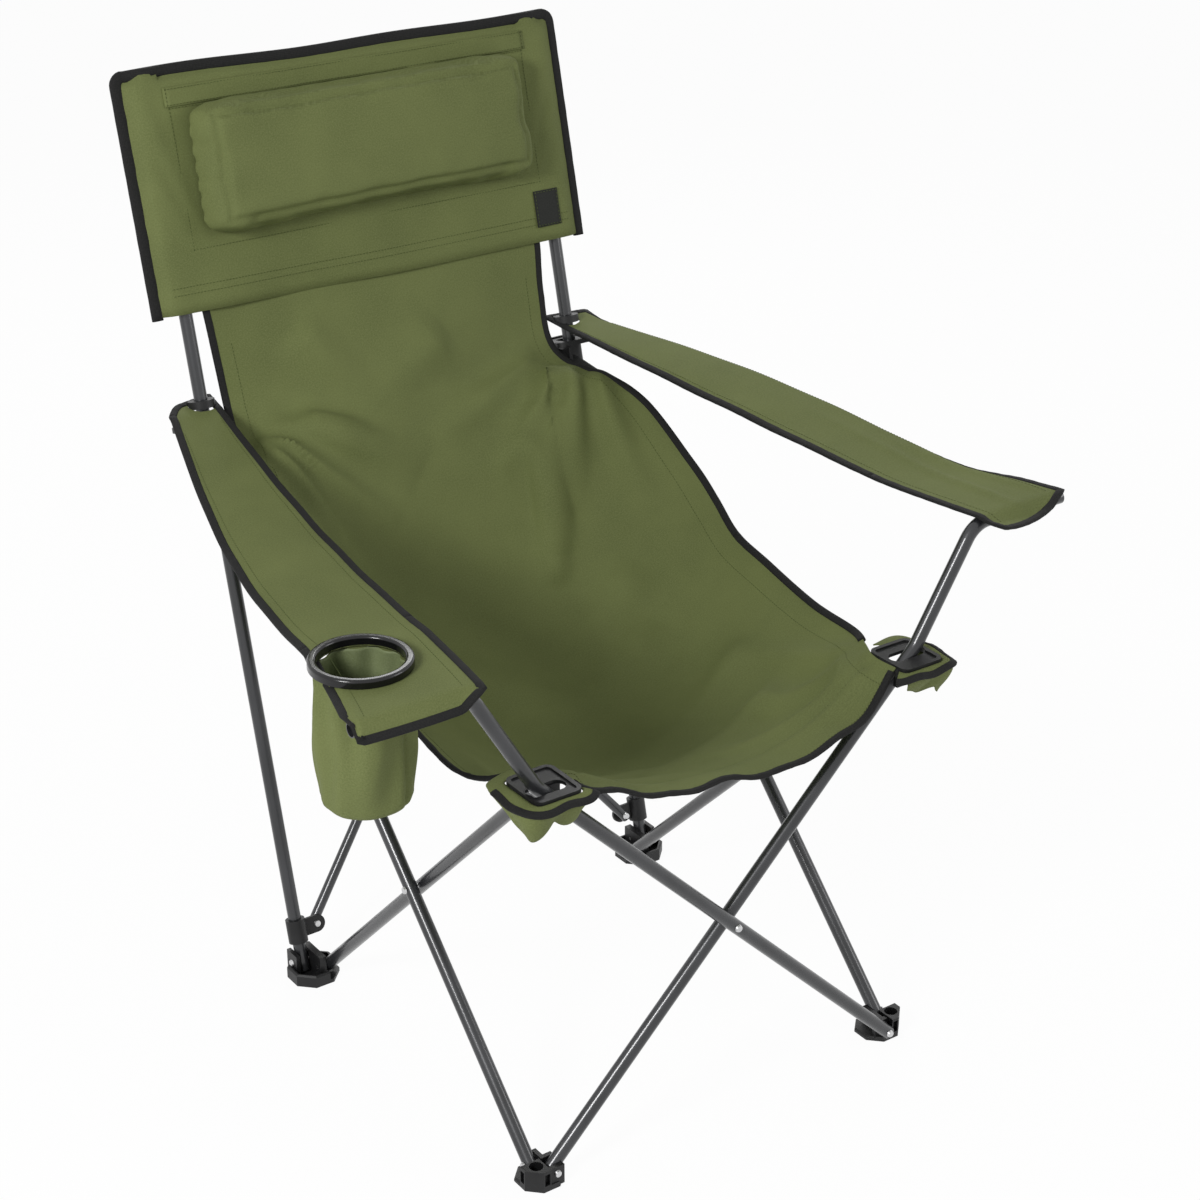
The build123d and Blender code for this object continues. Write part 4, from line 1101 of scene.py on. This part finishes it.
# %% Margins and corner pockets
PLATES = {"left": (-1, -0.3819), "right": (1, -0.3739)}
PLATE_X, PLATE_LEVEL, PLATE_HALF_X, PLATE_HALF_Y = 0.2465, 0.5062, 0.0297, 0.0327
PLATE_SQUARE, MARGIN_SQUARE = 9, 4.5
MARGIN_REACH, RIM_REACH = (0.017, 0.020, 0.010), (0.016, 0.019, 0.009)
MARGIN_BELOW, MARGIN_DROOP, MARGIN_WAVE = 0.0015, 0.0045, 0.0016
RIM_BELOW, RIM_TUCK, RIM_WAVE = 0.0070, 0.013, 0.0045
CORNER_SHEETS = {}


def oval(angle, half_x, half_y, power):
    """Distance from the middle of a soft rectangle to its outline."""
    shape = np.abs(np.cos(angle) / half_x) ** power + np.abs(np.sin(angle) / half_y) ** power
    return shape ** (-1 / power)


def round_plate(angle, reach):
    """Outline round a plate, which reaches a different way beyond it outward, behind and in front."""
    out, behind, ahead = reach
    beyond = np.where(np.sin(angle) > 0, behind, ahead)
    return oval(angle, PLATE_HALF_X + out, PLATE_HALF_Y + beyond, MARGIN_SQUARE)


for side, (sx, plate_y) in PLATES.items():
    angle = np.radians(np.linspace(92, -142, 70))[:, None]
    taped = np.radians(30) > angle[:, 0]
    inner = oval(angle, PLATE_HALF_X, PLATE_HALF_Y, PLATE_SQUARE)
    outer = round_plate(angle, MARGIN_REACH)
    share = sideways(7)
    reach = inner + (outer - inner) * share
    ripple = MARGIN_WAVE * np.sin(angle * 6.0 + sx) * share
    level = PLATE_LEVEL - MARGIN_BELOW - MARGIN_DROOP * share**2 + ripple
    margin_x, margin_y = sx * (PLATE_X + reach * np.cos(angle)), plate_y + reach * np.sin(angle)
    margin = xyz(margin_x, margin_y, level)
    hang = sideways(14)
    span = np.radians(np.linspace(40, -128, 48))[:, None]
    rim = round_plate(span, RIM_REACH)
    degrees = np.degrees(span)
    depth = 0.012 + 0.026 * bell(degrees + 30, 34) + 0.014 * bell(degrees + 100, 22)
    rim = rim - RIM_TUCK * hang**1.4 + RIM_WAVE * np.sin(span * 6.0 + hang * 2.0 + sx) * hang
    drop = xyz(sx * (PLATE_X + rim * np.cos(span)), plate_y + rim * np.sin(span),
               PLATE_LEVEL - RIM_BELOW - depth * hang)
    if sx > 0:
        margin, drop = margin[:, ::-1], drop[:, ::-1]
    edge = (margin[:, 0] if sx > 0 else margin[:, -1])[taped]
    into = (margin[:, 1] - margin[:, 0] if sx > 0 else margin[:, -2] - margin[:, -1])[taped]
    margin_cloth = cloth(f"corner_margin_{side}", margin)
    drop_cloth = cloth(f"corner_pocket_{side}", drop, lining=OLIVE_INSIDE)
    margin_tape = tape(f"corner_tape_{side}", [(edge, into)], width=0.0085, thick=0.0046)
    for piece in (margin_cloth, drop_cloth, margin_tape):
        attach(piece, f"corner_{side}")
    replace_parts(drop_cloth, f"corner_flap_{side}")
    CORNER_SHEETS[side] = (margin_cloth, area(margin), drop_cloth, area(drop), margin_tape)
    print("corner", side, "areas", round(area(margin), 4), round(area(drop), 4))

# %% [markdown]
# ## Stitches
# A sewing machine leaves a row of short threads along every hem. Geometry Nodes suit this: a tree turns lines
# of points into curves, divides them by the stitch spacing and sets one small thread on each point, turned
# along the line. The result is made a plain mesh, one for each moving body.

# %% Stitch tree
def stitch_tree(material):
    tree = bpy.data.node_groups.new("stitch_rows", "GeometryNodeTree")
    tree.interface.new_socket("Lines", in_out="INPUT", socket_type="NodeSocketGeometry")
    for name, value in (("Spacing", 0.0042), ("Thread Length", 0.0030), ("Thread Width", 0.0008)):
        socket = tree.interface.new_socket(name, in_out="INPUT", socket_type="NodeSocketFloat")
        socket.default_value = value
    tree.interface.new_socket("Threads", in_out="OUTPUT", socket_type="NodeSocketGeometry")
    kinds = ("NodeGroupInput", "NodeGroupOutput", "GeometryNodeMeshToCurve", "GeometryNodeResampleCurve",
             "GeometryNodeInstanceOnPoints", "GeometryNodeMeshUVSphere", "ShaderNodeCombineXYZ",
             "FunctionNodeAlignRotationToVector", "GeometryNodeInputTangent", "GeometryNodeRealizeInstances",
             "GeometryNodeSetMaterial")
    source, result, curve, cut, threads, ball, size, turn, ahead, real, coat = map(tree.nodes.new, kinds)
    cut.mode = "LENGTH"
    turn.axis = "X"
    ball.inputs["Segments"].default_value = 6
    ball.inputs["Rings"].default_value = 4
    ball.inputs["Radius"].default_value = 0.5
    coat.inputs["Material"].default_value = material
    for first, output, second, entry in (
            (source, "Lines", curve, "Mesh"), (curve, "Curve", cut, "Curve"),
            (source, "Spacing", cut, "Length"),
            (cut, "Curve", threads, "Points"), (ball, "Mesh", threads, "Instance"),
            (ahead, "Tangent", turn, "Vector"), (turn, "Rotation", threads, "Rotation"),
            (source, "Thread Length", size, "X"), (source, "Thread Width", size, "Y"),
            (source, "Thread Width", size, "Z"), (size, "Vector", threads, "Scale"),
            (threads, "Instances", real, "Geometry"), (real, "Geometry", coat, "Geometry"),
            (coat, "Geometry", result, "Threads")):
        tree.links.new(first.outputs[output], second.inputs[entry])
    return tree


STITCHES = stitch_tree(THREAD_GREEN)
STITCH_SPACING = 0.0042


def stitches(name, lines):
    """Plain mesh of the stitches along several lines of points."""
    points, links = [], []
    for line in lines:
        links += [(len(points) + i, len(points) + i + 1) for i in range(len(line) - 1)]
        points += [tuple(p) for p in line]
    mesh = bpy.data.meshes.new(name)
    mesh.from_pydata(points, links, [])
    ob = placed(name, mesh)
    rows = ob.modifiers.new("stitches", "NODES")
    rows.node_group = STITCHES
    for item in STITCHES.interface.items_tree:
        if item.item_type == "SOCKET" and item.in_out == "INPUT" and item.name == "Spacing":
            rows[item.identifier] = STITCH_SPACING
    plain_mesh(ob)
    print(name, len(ob.data.polygons), "faces")
    return ob


# %% Stitch lines
STITCH_LIFT, HEM_LIFT = 0.0009, 0.0006


def beside(grid, number):
    """Line along a column of a grid, just above the cloth."""
    return grid[:, number] + facing(grid)[:, number] * STITCH_LIFT


def hem_line():
    """Sewn line behind the front edge of the seat."""
    lifted = sling + facing(sling) * HEM_LIFT
    number = np.arange(3, SLING_COLUMNS - 3)
    place = np.clip(hem_row[number] * SLING_STEPS, low_row + 1, len(sling) - 2)
    low = place.astype(int)
    part = (place - low)[:, None]
    return lifted[low, number] * (1 - part) + lifted[low + 1, number] * part


def outline(x0, x1, low, high, rise, steps=40):
    """Closed stitched rectangle on the headrest."""
    run = np.linspace(0, 1, steps)
    ends = [(x0 + (x1 - x0) * run, low + 0 * run), (x1 + 0 * run, low + (high - low) * run),
            (x1 + (x0 - x1) * run, high + 0 * run), (x0 + 0 * run, high + (low - high) * run)]
    return [on_back(x, -(SLEEVE_SWELL + rise), along) for x, along in ends]


proud = front_panel + (front_panel - rear_panel) * 0.04
hem_rows = [proud[number, 4:-4] for number in (2, 3)]
back_lines = [*hem_rows, beside(back_grid, 4)[20:], beside(back_grid, -5)[20:],
              *outline(-0.243, 0.243, 1.048, 1.066, 0.0026), *outline(0.2305, 0.2615, 0.828, 0.869, 0.0033),
              *outline(-0.241, 0.241, 0.882, 1.044, 0.0014)]
back_stitches = ride_back(stitches("back_stitches", back_lines))
seat_lines = [beside(seat_grid, 4), beside(seat_grid, -5), hem_line(),
              seat_grid[-4, 3:-3] + facing(seat_grid)[-4, 3:-3] * STITCH_LIFT]
seat_stitches = ride_seat(stitches("seat_stitches", seat_lines))
for side, grid in (("left", left_arm_grid), ("right", right_arm_grid)):
    lines = [beside(grid, number) for number in (4, -5)]
    front_rows = stitches(f"arm_{side}_front_stitches", [line[3:ARM_SPLIT_ROW + 1] for line in lines])
    strip_rows = stitches(f"arm_{side}_strip_stitches", [line[ARM_SPLIT_ROW:-9] for line in lines])
    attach(front_rows, f"arm_{side}")
    ride_loop(strip_rows, side)

# %% [markdown]
# ## Flat sizes of the cloth
# For each sheet the size that it was cut to is printed, which is a little more than it measures where the
# cloth is slack, and no more than its flat size.

# %% Sheets
def declare(piece, measured, flat, held, **more):
    cut = min(measured * 1.02, flat[0] * flat[1])
    print(piece.name, "measures", round(measured, 4), "cut", round(cut, 4))


declare(back_cloth, area(back_grid), (0.62, 0.62), "hung", with_pieces=[back_tape, back_stitches])
declare(seat_cloth, area(seat_grid), (0.62, 0.44), "hung", with_pieces=[seat_tape, seat_stitches])
declare(headrest_front, area(front_panel), (0.62, 0.29), "stretched", with_pieces=[headrest_tape])
declare(headrest_rear, area(rear_panel), (0.62, 0.29), "stretched")
declare(headrest_strip, area(strip_grid), (0.495, 0.024), "laid")
declare(patch, area(patch_grid), (0.036, 0.046), "laid")
for front_cloth, front_area, strip_cloth, strip_area, front_tape, strip_tape in ARM_SHEETS.values():
    declare(front_cloth, front_area, (0.165, 0.215), "stretched", with_pieces=[front_tape])
    declare(strip_cloth, strip_area, (0.150, 0.570), "stretched", with_pieces=[strip_tape])
declare(pocket, area(pocket_grid), (0.34, 0.22), "gathered")
for margin_cloth, margin_area, drop_cloth, drop_area, margin_tape in CORNER_SHEETS.values():
    declare(margin_cloth, margin_area, (0.09, 0.11), "stretched", with_pieces=[margin_tape])
    declare(drop_cloth, drop_area, (0.15, 0.06), "hung")
for shade_web_cloth, web_area in SHADE_WEB_SHEETS.values():
    declare(shade_web_cloth, web_area, (0.11, 0.035), "stretched")
